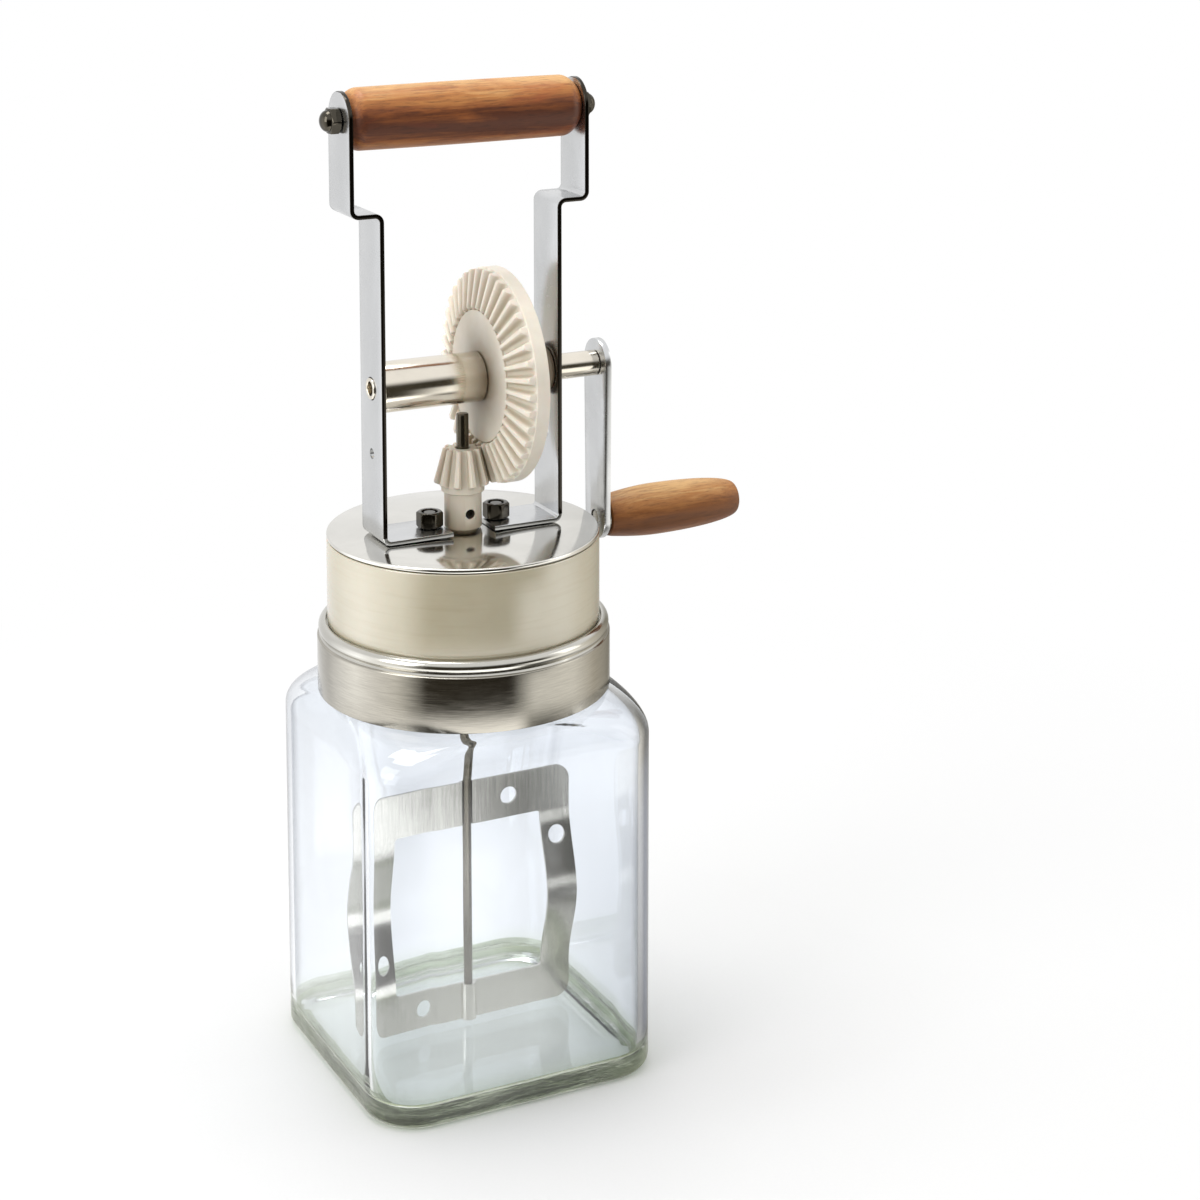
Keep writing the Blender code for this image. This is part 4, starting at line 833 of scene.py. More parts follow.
def dress_neck():
    """Gasket, drum, sleeve, plate and bush."""
    dress("rim_gasket", tube(0.0419, 0.0465, GASKET_Z, 0.151, 0.0003, FINE_STEPS), "silicone")
    dress("strainer_drum", drum_mesh(), "drum")
    sleeve = tube(0.0447, PLATE_RADIUS, 0.1524, DRUM_TOP_Z, 0.0004, FINE_STEPS)
    dress("silicone_sleeve", sleeve, "silicone")
    plate = tube(PLATE_BORE, PLATE_RADIUS, PLATE_Z, PLATE_TOP_Z, 0.0005, FINE_STEPS)
    holes = [peg(BOLT_BORE, 0.004, (side * BOLT_X, 0, PLATE_Z + 0.0007)) for _, side in SIDES]
    dress("top_plate", carved(plate, holes), "plate")
    body = 0.005
    flange = 0.0066
    bush = [
        (body, PLATE_TOP_Z + PLAY, 0.0003),
        (body, UNDER_DRUM_Z, 0.0),
        (flange, UNDER_DRUM_Z, 0.0003),
        (flange, BUSH_BOTTOM_Z, 0.0003),
        (BOLT_RADIUS, BUSH_BOTTOM_Z, 0.0002),
        (BOLT_RADIUS, PLATE_TOP_Z + PLAY, 0.0002),
    ]
    dress("shaft_bush", turned(soften(bush)), "nylon")


def dress_band():
    """A polished, rolled lip over a brushed skirt, and the threaded liner inside."""
    outer = 0.0495
    lip = 0.0491
    mouth = 0.0465
    sheet = 0.0007
    groove_z = BAND_TOP_Z - 0.0046
    roll = (lip - 0.0023, BAND_TOP_Z - 0.0023)
    corners = [(mouth, BAND_TOP_Z - 0.0001, 0.0001)] + arc(roll, 0.0023, 90, -40, 10)
    corners += [
        (lip - sheet, groove_z + 0.0003, 0.0002),
        (lip - sheet, groove_z - 0.0001, 0.0002),
        (outer, groove_z - 0.0006, 0.0004),
        (outer, BAND_BOTTOM_Z, 0.0002),
        (outer - sheet, BAND_BOTTOM_Z, 0.0002),
        (outer - sheet, BAND_TOP_Z - 0.0048),
        (lip - 2 * sheet, BAND_TOP_Z - 0.0036),
    ]
    corners += arc(roll, 0.0016, -20, 90, 6) + [(mouth, BAND_TOP_Z - sheet)]
    band = turned(soften(corners, steps=3), FINE_STEPS)

    def pick(centre):
        return int(centre.z > groove_z - 0.0001)

    dress("screw_band", band, "band", "lip", smooth_angle=40, pick=pick)
    bottom = BAND_BOTTOM_Z + 0.0005
    height_inside = 0.016
    rings = []
    for step in range(49):
        height = bottom + height_inside * step / 48
        ring = []
        for index in range(FINE_STEPS):
            angle = math.tau * index / FINE_STEPS
            radius = LINER_BORE - 0.0006 * thread_height(angle, height)
            ring.append((*on_circle(radius, angle), height))
        rings.append(ring)
    rings += [circle(0.0485, height) for height in (bottom + height_inside, bottom)]
    dress("band_liner", loft(rings, wrap=True), "nylon")


def strap_path(side):
    """Points (x, z) along the middle of a strap, foot first."""
    half = STRAP_THICKNESS / 2
    lower = STRAP_OUTER_X - half
    upper = HANDLE_OUTER_X - half
    step_z = PLATE_TOP_Z + 0.11 + half
    corners = [
        (0.0076, FOOT_Z + half),
        (lower, FOOT_Z + half, 0.0012 + half),
        (lower, step_z, 0.0016 + half),
        (upper, step_z, 0.0016 + half),
        (upper, HANDLE_Z),
    ]
    return [(side * x, z) for x, z in soften(corners, closed=False, steps=8)]


def strap_section(place, normal, half_width):
    """A ring round the strap: a rectangle with softened corners."""
    half = STRAP_THICKNESS / 2
    edge = 0.00028
    corners = [(half, half_width), (-half, half_width), (-half, -half_width), (half, -half_width)]
    ring = []
    for out, aside in soften([(*corner, edge) for corner in corners], steps=3):
        ring.append((place[0] + normal[0] * out, aside, place[1] + normal[1] * out))
    return ring


def strap_mesh(side):
    """One upright: a strap along its path, and a round upper end."""
    path = strap_path(side)
    rings = []
    for index, place in enumerate(path):
        before = Vector(path[max(index - 1, 0)])
        after = Vector(path[min(index + 1, len(path) - 1)])
        along = (after - before).normalized()
        rings.append(strap_section(place, (-along.y * side, along.x * side), STRAP_HALF_WIDTH))
    for step in range(1, 24):
        sine, cosine = quarter(step, 24)
        place = (path[-1][0], HANDLE_Z + STRAP_HALF_WIDTH * sine)
        rings.append(strap_section(place, (-side, 0), max(STRAP_HALF_WIDTH * cosine, 0.0005)))
    return loft(rings)


def strap_face(centre):
    """0 on a strap's broad faces and its foot, 1 on its narrow edges, which take the darker steel of painted
    reflection.
    """
    if centre.z < FOOT_Z + 0.0045:
        return 0
    return int(math.hypot(centre.y, max(centre.z - HANDLE_Z, 0.0)) > 0.0091)


def dress_uprights():
    half = STRAP_THICKNESS / 2
    for (word, side), bore in zip(SIDES, (0.0039, SHAFT_BORE)):
        middle = side * (STRAP_OUTER_X - half)
        holes = [
            peg(bore, 0.006, (middle, 0, CRANK_Z), along_x),
            peg(0.0018, 0.006, (middle, 0, PLATE_TOP_Z + 0.0296), along_x),
            peg(BOLT_BORE, 0.006, (side * (HANDLE_OUTER_X - half), 0, HANDLE_Z), along_x),
            peg(BOLT_BORE, 0.006, (side * BOLT_X, 0, FOOT_Z + half)),
        ]
        upright = carved(strap_mesh(side), holes)
        dress(f"{word}_upright", upright, "strap", "shaded_strap_edge", smooth_angle=28, pick=strap_face)


def hexagon_reach(angle, flats):
    """From a nut's middle to its side: flats across its own X, and each corner a little blunt."""
    sector = math.radians(60)
    off = (angle + sector / 2) % sector - sector / 2
    blunt_corner = 0.99 * flats / 2 / math.cos(sector / 2)
    return min(flats / 2 / math.cos(off), blunt_corner)


def nut_ring(flats, height, from_end):
    """A ring round a nut's side, where the corners are turned down to a cone close to its end."""
    cone = flats / 2 - 0.0001 + 1.7 * from_end
    return [(*on_circle(min(hexagon_reach(angle, flats), cone), angle), height) for angle in NUT_ANGLES]


def nut_circle(radius, height):
    return [(*on_circle(radius, angle), height) for angle in NUT_ANGLES]


def hex_nut(height, centre):
    """A hexagon nut, bored through, whose corners are turned down at both ends."""
    half = height / 2
    edge = 0.00025
    rings = [nut_ring(FOOT_NUT_FLATS, half - depth, depth) for depth in NUT_END_DEPTHS]
    rings += [nut_ring(FOOT_NUT_FLATS, depth - half, depth) for depth in reversed(NUT_END_DEPTHS)]
    rings += [nut_circle(BOLT_BORE + edge, -half), nut_circle(BOLT_BORE, edge - half)]
    rings += [nut_circle(BOLT_BORE, half - edge), nut_circle(BOLT_BORE + edge, half)]
    return loft(placed(rings, along_z, centre), wrap=True)


def cap_nut(lay, centre):
    """A domed nut on its seat, bored part of the way."""
    body = 0.0034
    bore_depth = 0.0042
    rings = [[(0, 0, bore_depth)], nut_circle(BOLT_BORE, bore_depth)]
    rings += [nut_circle(BOLT_BORE, 0.0002), nut_circle(0.0029, 0)]
    rings += [nut_ring(CAP_NUT_FLATS, depth, depth) for depth in NUT_END_DEPTHS]
    rings += [nut_ring(CAP_NUT_FLATS, body - depth, depth) for depth in reversed(NUT_END_DEPTHS)]
    for degrees in range(90, 0, -9):
        turn = math.radians(degrees)
        rings.append(nut_circle(0.0036 * math.sin(turn), body + 0.0027 * math.cos(turn)))
    rings.append([(0, 0, 0.0061)])
    return loft(placed(rings, lay, centre))


def bolt_shank(bottom, top):
    """Outline of a threaded shank's end, from its top down."""
    pitch = 0.0007
    points = [(BOLT_RADIUS - 0.0005, top), (BOLT_RADIUS - 0.0001, top - 0.0004)]
    height = top - 0.0006
    while height > bottom + pitch:
        points += [(BOLT_RADIUS, height), (BOLT_RADIUS - 0.0003, height - pitch / 2)]
        height -= pitch
    points.append((BOLT_RADIUS, height))
    return points


def foot_bolt(x):
    """A bolt with a slotted head below and its threaded end above."""
    tip = FOOT_Z + STRAP_THICKNESS + 0.0052
    head = 0.0044
    head_bottom = BOLT_HEAD_Z - 0.003
    profile = [(0, tip)] + bolt_shank(FOOT_Z, tip)
    profile += [(BOLT_RADIUS, BOLT_HEAD_Z), (0.0042, BOLT_HEAD_Z), (head, BOLT_HEAD_Z - 0.0002)]
    profile += [(head, head_bottom + 0.0006), (0.0038, head_bottom), (0, head_bottom)]
    bolt = turned(profile, SMALL_STEPS, centre=(x, 0, 0), closed=False)
    return carved(bolt, [block((0.012, 0.001, 0.0024), (x, 0, head_bottom))])


def dress_fasteners():
    nut_height = 0.0052
    nut_z = FOOT_Z + STRAP_THICKNESS + PLAY + nut_height / 2
    for (word, side), lay in zip(SIDES, (along_minus_x, along_x)):
        x = side * BOLT_X
        dress(f"{word}_foot_bolt", foot_bolt(x), "fastener")
        dress(f"{word}_foot_nut", hex_nut(nut_height, (x, 0, nut_z)), "fastener")
        washer = tube(BOLT_BORE, 0.005, 0.1791, UNDER_DRUM_Z, 0.0002, SMALL_STEPS, centre=(x, 0, 0))
        dress(f"{word}_foot_washer", washer, "bright")
        cap = cap_nut(lay, (side * (HANDLE_OUTER_X + PLAY), 0, HANDLE_Z))
        dress(f"{word}_cap_nut", cap, "fastener")
    carry("handle_rod", "bright")


def top_grip_radius(place):
    """Radius at a distance from the top grip's middle: a slight barrel that falls away at each end."""
    into_end = max(1 - (TOP_GRIP_HALF - abs(place)) / TOP_GRIP_END, 0)
    return 0.0105 - 0.0002 * (place / TOP_GRIP_HALF) ** 2 - 0.0028 * into_end**2


def dress_top_grip():
    places = [TOP_GRIP_HALF - TOP_GRIP_END * step / 14 for step in range(15)]
    places += [(TOP_GRIP_HALF - TOP_GRIP_END) * (1 - step / 8) for step in range(1, 9)]
    places += [-place for place in reversed(places[:-1])]
    profile = [(top_grip_radius(place), place) for place in places]
    profile = [(BOLT_BORE, TOP_GRIP_HALF)] + profile + [(BOLT_BORE, -TOP_GRIP_HALF)]
    dress("top_grip", turned(profile, FINE_STEPS, along_x, (0, 0, HANDLE_Z)), "wood")


def dress_crank():
    """Shaft, tube, washer, arm, and the grip with its bolt and washer."""
    crank_axis = (0, 0, CRANK_Z)
    grip_axis = (0, 0, GRIP_AXIS_Z)
    neck = 0.003
    end = 0.0536
    tail = -0.03325
    gear_face = -0.03085
    shaft = [
        (0.0, end),
        (0.0038, end, 0.0005),
        (0.0046, end - 0.0008, 0.0004),
        (0.0046, 0.0524, 0.0001),
        (neck, 0.0524),
        (neck, 0.0494),
        (SHAFT_RADIUS, 0.0494, 0.0002),
        (SHAFT_RADIUS, gear_face, 0.0002),
        (0.0036, gear_face),
        (0.0036, tail, 0.0003),
        (0.0024, tail, 0.0003),
        (0.0024, tail + 0.006),
        (0.0, tail + 0.006),
    ]
    dress("crank_shaft", turned_solid(shaft, ROUND_STEPS, along_x, crank_axis), "shaft")
    spacer = tube(SHAFT_BORE, 0.0085, gear_face, 0.0057, 0.0004, FINE_STEPS, along_x, crank_axis)
    dress("spacer_tube", spacer, "shaft")
    washer = tube(SHAFT_BORE, 0.0075, 0.02985, 0.03085, 0.0002, ROUND_STEPS, along_x, crank_axis)
    dress("gear_washer", washer, "nylon")
    dress("crank_arm", arm_mesh(), "strap", smooth_angle=28)
    head = 0.0986
    bolt = [
        (0.0, head),
        (0.004, head, 0.0005),
        (0.004, 0.096, 0.0001),
        (BOLT_RADIUS, 0.096),
        (BOLT_RADIUS, 0.05, 0.0002),
        (0.0, 0.05),
    ]
    slot = block((0.0024, 0.011, 0.001), (head, 0, GRIP_AXIS_Z))
    dress("grip_bolt", carved(turned_solid(bolt, SMALL_STEPS, along_x, grip_axis), [slot]), "bright")
    ring = tube(BOLT_BORE, 0.0062, 0.0524, 0.0532, 0.0002, SMALL_STEPS, along_x, grip_axis)
    dress("grip_washer", ring, "bright")
    dress("crank_grip", grip_mesh(), "grip_wood")


def arm_mesh():
    """The flat crank arm: two round ends of different width, its edges softened."""
    edge = 0.0003
    shaft_end = 0.0084
    grip_end = 0.0074
    half = ARM_THICKNESS / 2
    middle_x = ARM_X + half
    outline = arc((0, 0), 1.0, 0, 180, 32)
    levels = [(edge, half), (edge * 0.3, half - edge * 0.3), (0.0, half - edge), (0.0, edge - half)]
    levels += [(edge * 0.3, edge * 0.3 - half), (edge, -half)]
    rings = []
    for inset, level in levels:
        ring = [(level, x * (shaft_end - inset), y * (shaft_end - inset)) for x, y in outline]
        ring += [(level, -x * (grip_end - inset), -ARM_REACH - y * (grip_end - inset)) for x, y in outline]
        rings.append([(x + middle_x, y, z + CRANK_Z) for x, y, z in ring])
    holes = [peg(0.0033, 0.008, (middle_x, 0, CRANK_Z), along_x)]
    holes.append(peg(BOLT_BORE, 0.008, (middle_x, 0, GRIP_AXIS_Z), along_x))
    return carved(loft(rings), holes)


def grip_mesh():
    """The crank grip: swelling from its root, then falling in a round curve to its end."""
    widest = 0.38
    root = 0.0071
    tip = 0.005
    end_bore = 0.0043

    def radius(share):
        if share < widest:
            return root + 0.0018 * math.sin(math.pi / 2 * share / widest)
        fall = (share - widest) / (1 - widest)
        return tip + 0.0039 * math.sqrt(max(1 - fall**2.2, 0))

    profile = []
    for station in range(48, 0, -1):
        share = quarter(station, 48)[0]
        if share > 0.02:
            profile.append((radius(share), GRIP_X + GRIP_LENGTH * share))
    profile += [(root, GRIP_X + 0.0008), (0.0069, GRIP_X + 0.0002), (0.0063, GRIP_X), (BOLT_BORE, GRIP_X)]
    profile += [(BOLT_BORE, GRIP_X + 0.0422), (end_bore, GRIP_X + 0.0422)]
    profile += [(end_bore, GRIP_X + GRIP_LENGTH - 0.0003), (0.0046, GRIP_X + GRIP_LENGTH)]
    return turned(profile, FINE_STEPS, along_x, (0, 0, GRIP_AXIS_Z))


def involute(angle):
    return math.tan(angle) - angle


def tooth_half(virtual_radius, offset):
    """Half width of a tooth, and its height over the pitch cone, where it is offset above it."""
    radius = virtual_radius + offset
    base = virtual_radius * math.cos(PRESSURE_ANGLE)
    spread_angle = TOOTH_THICKNESS / 2 / virtual_radius + involute(PRESSURE_ANGLE)
    if radius > base:
        spread_angle -= involute(math.acos(base / radius))
    return radius * math.sin(spread_angle), radius * math.cos(spread_angle) - virtual_radius


def tooth_outline(virtual_radius, dedendum, addendum):
    """Half of a tooth, (aside, height) from its root to the middle of its tip, both corners rounded."""
    depth = dedendum + addendum
    points = [tooth_half(virtual_radius, -dedendum + depth * step / 5) for step in range(6)]
    root_aside, root_height = points[0]
    tip_aside, tip_height = points[-1]
    points[0] = (root_aside + 0.00008, root_height + 0.0002)
    points.insert(0, (root_aside + 0.0003, root_height))
    points[-1] = (tip_aside - 0.00006, tip_height - 0.00016)
    points += [(tip_aside - 0.0002, tip_height), (0.0, tip_height + 0.00001)]
    return points


def cone_point(pitch_radius, slope, offset):
    tilt = math.atan(slope)
    return pitch_radius + offset * math.sin(tilt), pitch_radius * slope - offset * math.cos(tilt)


class Gear:
    """Points of a bevel gear whose teeth run to the apex at its own origin, deeper along its own +Z."""

    def __init__(self, count, pitch_radius, slope, dedendum, addendum, first_angle):
        self.pitch_radius = pitch_radius
        self.slope = slope
        half = tooth_outline(pitch_radius / math.sin(math.atan(slope)), dedendum, addendum)
        self.root = half[0][1]
        self.root_radius, self.root_depth = cone_point(pitch_radius, slope, -dedendum)
        root_aside = half[0][0]
        flat_step = root_aside / (len(half) - 1)
        pitch = math.tau / count
        self.places = []
        for index in range(count):
            middle = first_angle + pitch * index
            self.places.append((middle - pitch / 2, 0.0, self.root, 0.0))
            for place, (aside, height) in enumerate(half):
                self.places.append((middle, -aside, height, place * flat_step - root_aside))
            for place, (aside, height) in reversed(list(enumerate(half[:-1]))):
                self.places.append((middle, aside, height, root_aside - place * flat_step))

    def ring(self, share, lift=1.0):
        """The toothed ring at a share of the way from the apex, its teeth scaled by lift."""
        points = []
        for angle, aside, height, flat_aside in self.places:
            height = self.root + (height - self.root) * lift
            aside = flat_aside + (aside - flat_aside) * lift
            radius, depth = cone_point(self.pitch_radius, self.slope, height)
            x = radius * math.cos(angle) - aside * math.sin(angle)
            y = radius * math.sin(angle) + aside * math.cos(angle)
            points.append((x * share, y * share, depth * share))
        return points

    def plain(self, radius, depth):
        """A round ring with the same number of points."""
        points = []
        for angle, _, _, flat_aside in self.places:
            turn = angle + math.atan2(flat_aside, self.pitch_radius)
            points.append((*on_circle(radius, turn), depth))
        return points

    def mesh(self, before, teeth, after, lay):
        """A skin over plain rings (radius, depth), toothed rings (share, lift) and plain rings again."""
        rings = [self.plain(*place) for place in before]
        rings += [self.ring(*place) for place in teeth]
        rings += [self.plain(*place) for place in after]
        return loft(placed(rings, lay, (0, 0, CRANK_Z)), wrap=True)


def gear_mesh():
    """The large gear: a flat web, teeth up to the rim, a plain back and a hub with its grub screw hole."""
    gear = Gear(GEAR_TEETH, GEAR_PITCH_RADIUS, PITCH_SLOPE, 0.0016, 0.0011, 0.0)
    inner = 0.63
    web = gear.root_radius * inner
    web_depth = 0.006
    back = 0.0155
    hub_end = 0.02955
    before = [(SHAFT_BORE, web_depth + 0.0003), (0.005, web_depth)]
    before += [(web - 0.0008, web_depth), (web - 0.0002, 0.00615)]
    teeth = [(inner, 0.0), (inner + 0.003, 0.55), (inner + 0.009, 0.9), (inner + 0.018, 1.0)]
    teeth += [(inner + (0.975 - inner) * step / 8, 1.0) for step in range(1, 9)]
    teeth += [(0.988, 0.97), (0.996, 0.9)]
    after = [(0.0361, gear.root_depth), (0.0364, gear.root_depth + 0.0003), (0.0364, 0.0151)]
    after += [(0.036, back), (0.0105, back), (0.0094, 0.0158), (0.009, 0.0168), (0.009, 0.0291)]
    after += [(0.0086, hub_end), (0.005, hub_end), (SHAFT_BORE, 0.0292)]
    mesh = gear.mesh(before, teeth, after, along_x)
    return carved(mesh, [peg(GRUB_BORE, 0.01, (0.02355, 0, CRANK_Z + 0.0095))])


def pinion_mesh():
    """The small gear, teeth upwards, over a long hub with its grub screw hole."""
    pitch_radius = GEAR_PITCH_RADIUS * PITCH_SLOPE
    pinion = Gear(PINION_TEETH, pitch_radius, 1 / PITCH_SLOPE, 0.0017, 0.001, math.pi / PINION_TEETH)
    inner = 0.655
    full = inner + 0.014
    depth = pinion.root_depth
    top = depth * inner
    hub = 0.0063
    hub_end = 0.051
    before = [(0.0024, top + 0.0003), (0.0027, top), (pinion.root_radius * inner - 0.0002, top)]
    teeth = [(inner, 0.0), (inner + 0.002, 0.6), (inner + 0.007, 0.9)]
    teeth += [(full + (0.98 - inner - 0.014) * step / 8, 1.0) for step in range(9)]
    teeth += [(0.985, 0.98), (0.992, 0.85), (0.997, 0.5), (1.0, 0.0)]
    after = [(0.0073, depth + 0.0002), (0.0073, depth + 0.0019), (0.007, depth + 0.0022)]
    after += [(0.0065, depth + 0.0023), (hub, depth + 0.0026), (hub, hub_end - 0.0004)]
    after += [(0.006, hub_end), (0.0026, hub_end), (0.0024, hub_end - 0.0002)]
    mesh = pinion.mesh(before, teeth, after, upside_down)
    grub_hole = peg(GRUB_BORE, 0.0063, (0, -0.00525, PLATE_TOP_Z + 0.006192), along_minus_y)
    return carved(mesh, [grub_hole])


def dress_gears():
    dress("drive_gear", gear_mesh(), "nylon", smooth_angle=40)
    dress("pinion_gear", pinion_mesh(), "pinion", smooth_angle=40)
    carry("gear_grub_screw", "fastener")
    carry("pinion_grub_screw", "fastener")


def dress_paddle():
    top = CRANK_Z - 0.0121
    step_z = BUSH_BOTTOM_Z - PLAY - 0.0012 - 0.0024
    shaft = [
        (0.0, top),
        (0.0021, top, 0.0004),
        (0.0021, step_z, 0.0002),
        (ROD_RADIUS, step_z - 0.0005, 0.0002),
        (ROD_RADIUS, PADDLE_BOTTOM_Z + PLAY, 0.0002),
        (0.0, PADDLE_BOTTOM_Z + PLAY),
    ]
    dress("paddle_shaft", turned_solid(shaft, SMALL_STEPS), "rod")
    ring = tube(BOLT_RADIUS, 0.0042, RETAINER_Z, RETAINER_Z + 0.0012, 0.0002, SMALL_STEPS)
    dress("retaining_ring", ring, "bright")
    dress("paddle_frame", paddle_mesh(), "paddle", smooth_angle=18)


def paddle_bow(x, z):
    """How far the paddle's side bars bow out of its plane, one to each side, with a faint crease midway."""
    across = min(max((abs(x) - BOW_START_X + BOW_EASE) / BOW_EASE, 0), 1)
    across = across * across * (3 - 2 * across)
    along = (z - WINDOW_BOTTOM_Z) / (WINDOW_TOP_Z - WINDOW_BOTTOM_Z)
    if along <= 0 or along >= 1:
        return 0
    soft = math.sin(math.pi * along) ** 2
    creased = 1 - abs(2 * along - 1)
    return -math.copysign(BOW_DEPTH, x) * across * (0.8 * soft + 0.2 * creased)


def rounded_prism(width, bottom, top, radius, steps):
    """An upright rectangle with rounded corners, thick along Y, that the paddle's sheet is cut with."""
    depth = 0.03
    reach_x = width / 2 - radius
    reach_z = (top - bottom) / 2 - radius
    middle = (top + bottom) / 2
    points = []
    for index, (side, level) in enumerate(((1, 1), (-1, 1), (-1, -1), (1, -1))):
        corner = (side * reach_x, middle + level * reach_z)
        points += arc(corner, radius, 90 * index, 90 * index + 90, steps)
    return loft([[(x, y, z) for x, z in points] for y in (-depth / 2, depth / 2)])


def paddle_sheet():
    """The sheet, as yet without thickness and uncut: channelled for its rod and bowed at its sides."""
    channel = ROD_RADIUS + PLAY + PADDLE_SHEET / 2
    right = [channel + 0.0006, channel + 0.0012, 0.012]
    right += [BOW_START_X - BOW_EASE + BOW_EASE * step / 6 for step in range(7)]
    right += [BOW_START_X + 0.003, PADDLE_WIDTH / 2 - PADDLE_SIDE_BAR / 2, PADDLE_WIDTH / 2 + 0.003]
    columns = [(-x, 0) for x in reversed(right)] + arc((0, 0), channel, 180, 0, 12)
    columns += [(x, 0) for x in right]
    rows = [(PADDLE_BOTTOM_Z - 0.003, -1)]
    window = WINDOW_TOP_Z - WINDOW_BOTTOM_Z
    rows += [(WINDOW_BOTTOM_Z + window * row / 48, -1 if row < 24 else 1) for row in range(49)]
    rows.append((PADDLE_TOP_Z + 0.003, 1))
    bm = bmesh.new()
    grid = []
    for z, bulge in rows:
        grid.append([bm.verts.new((x, depth * bulge + paddle_bow(x, z), z)) for x, depth in columns])
    for lower, upper in zip(grid, grid[1:]):
        for index in range(len(columns) - 1):
            bm.faces.new((lower[index], lower[index + 1], upper[index + 1], upper[index]))
    return finished(bm)


def paddle_mesh():
    """The pressed paddle: its sheet thickened, cut to shape, drilled, and its edges broken."""
    thickness = {"thickness": PADDLE_SHEET, "offset": 0, "use_even_offset": True}
    solid = applied(paddle_sheet(), "SOLIDIFY", thickness)
    outline = rounded_prism(PADDLE_WIDTH, PADDLE_BOTTOM_Z, PADDLE_TOP_Z, 0.0055, 12)
    solid = carved(solid, [outline], "INTERSECT")
    window_width = PADDLE_WIDTH - 2 * PADDLE_SIDE_BAR
    cutters = [rounded_prism(window_width, WINDOW_BOTTOM_Z, WINDOW_TOP_Z, 0.0015, 6)]
    side_x = PADDLE_WIDTH / 2 - PADDLE_SIDE_BAR / 2
    for x, z in (
        (0.0155, PADDLE_TOP_Z - PADDLE_TOP_BAR / 2),
        (-0.0155, PADDLE_BOTTOM_Z + PADDLE_BOTTOM_BAR / 2),
        (side_x, PADDLE_TOP_Z - 0.0245),
        (-side_x, PADDLE_BOTTOM_Z + 0.0245),
    ):
        cutters.append(peg(0.0031, 0.03, (x, 0, z), along_minus_y))
    edges = {"width": 0.00016, "segments": 2, "limit_method": "ANGLE", "angle_limit": math.radians(50)}
    return applied(carved(solid, cutters), "BEVEL", edges)


def make_looks():
    return {
        "glass": jar_glass(),
        "base_glass": thick_glass(),
        "silicone": satin_silicone(),
        "band": brushed_steel("band_steel", (180, 176, 166), round_marks, 0.12, 0.2, 0.5, 0.25),
        "lip": polished_steel("lip_steel", (200, 198, 191), 0.1, 0.18),
        "drum": brushed_steel("drum_steel", (190, 187, 178), round_marks, 0.24, 0.34),
        "plate": polished_steel("plate_steel", (224, 222, 216), 0.08, 0.15),
        "strap": polished_steel("strap_steel", (209, 210, 211), 0.2, 0.28),
        # Painted reflection: the strap edges use the strap's polished steel tinted nearly black, for the dark
        # reflections along them.
        "shaded_strap_edge": polished_steel("strap_edge_steel", (62, 58, 52), 0.1, 0.18),
        # Painted reflection: the fastener steel is tinted nearly black so nuts, bolts and grub screws show
        # dark mirror faces.
        "fastener": polished_steel("fastener_steel", (76, 72, 64), 0.05, 0.1),
        "shaft": polished_steel("shaft_steel", (230, 223, 210), 0.13, 0.2, (90, 2400, 2400)),
        "bright": brushed_steel("bright_steel", (190, 187, 178), across_marks, 0.22, 0.32),
        "rod": brushed_steel("rod_steel", (110, 104, 92), upright_marks, 0.18, 0.26),
        "paddle": brushed_steel("paddle_steel", (208, 205, 197), upright_marks, 0.1, 0.17),
        # Nylon colours: the second serves mottling and painted recess shade, the third is the painted shadow
        # round the crank's axis.
        "nylon": moulded_nylon("gear_nylon", (230, 224, 211), (158, 140, 109), (88, 72, 50)),
        "pinion": moulded_nylon("pinion_nylon", (226, 218, 203), (164, 150, 124)),
        "wood": oiled_wood("grip_wood", HANDLE_Z, 0.0105, TOP_WOOD),
        "grip_wood": oiled_wood("crank_wood", GRIP_AXIS_Z, 0.0089, CRANK_WOOD),
    }


def make_camera():
    camera = bpy.data.cameras.new("view")
    camera.sensor_width = 36
    camera.lens = 79.0254
    camera.shift_y = -0.41571
    camera.clip_end = 50
    holder = linked("view", camera)
    holder.location = (-0.34665, -0.78951, 0.44582)
    holder.rotation_euler = (math.radians(90 - 7.785), 0, math.radians(-26.775))
    bpy.context.scene.camera = holder


# Surroundings by compass direction: the colour at the back (180 degrees), then stops of (degrees, colour),
# 0 towards -Y and 90 towards +X.
# What mirrors see: a dim warm room in front, bright screens at both sides, white behind
ROOM = (
    (1.0, 1.0, 1.0),
    (-150, (0.95, 0.95, 0.95)),
    (-132, (1.5, 1.51, 1.53)),
    (-112, (2.0, 2.01, 2.03)),
    (-92, (1.5, 1.49, 1.47)),
    (-74, (1.2, 1.18, 1.12)),
    (-52, (0.045, 0.038, 0.024)),
    (12, (0.03, 0.025, 0.015)),
    (29, (1.4, 1.39, 1.34)),
    (66, (1.5, 1.48, 1.41)),
    (92, (0.8, 0.75, 0.65)),
    (128, (0.3, 0.28, 0.23)),
    (156, (1.0, 1.0, 1.0)),
)
# The same above the horizon, where the dark front reaches further round
SKYLINE = (
    (1.0, 1.0, 1.0),
    (-150, (0.95, 0.95, 0.95)),
    (-112, (1.8, 1.81, 1.83)),
    (-74, (1.2, 1.18, 1.12)),
    (-52, (0.05, 0.042, 0.026)),
    (38, (0.035, 0.03, 0.018)),
    (56, (1.4, 1.38, 1.32)),
    (92, (0.8, 0.75, 0.65)),
    (128, (0.3, 0.28, 0.23)),
    (156, (1.0, 1.0, 1.0)),
)
# What the floor close by lends to mirrors in the jar
NEAR_FLOOR = (
    (0.9, 0.9, 0.9),
    (14, (2.5, 2.48, 2.43)),
    (21, (1.6, 1.58, 1.53)),
    (27, (0.3, 0.29, 0.26)),
    (38, (0.08, 0.08, 0.07)),
    (60, (0.4, 0.39, 0.37)),
    (90, (0.8, 0.79, 0.77)),
)
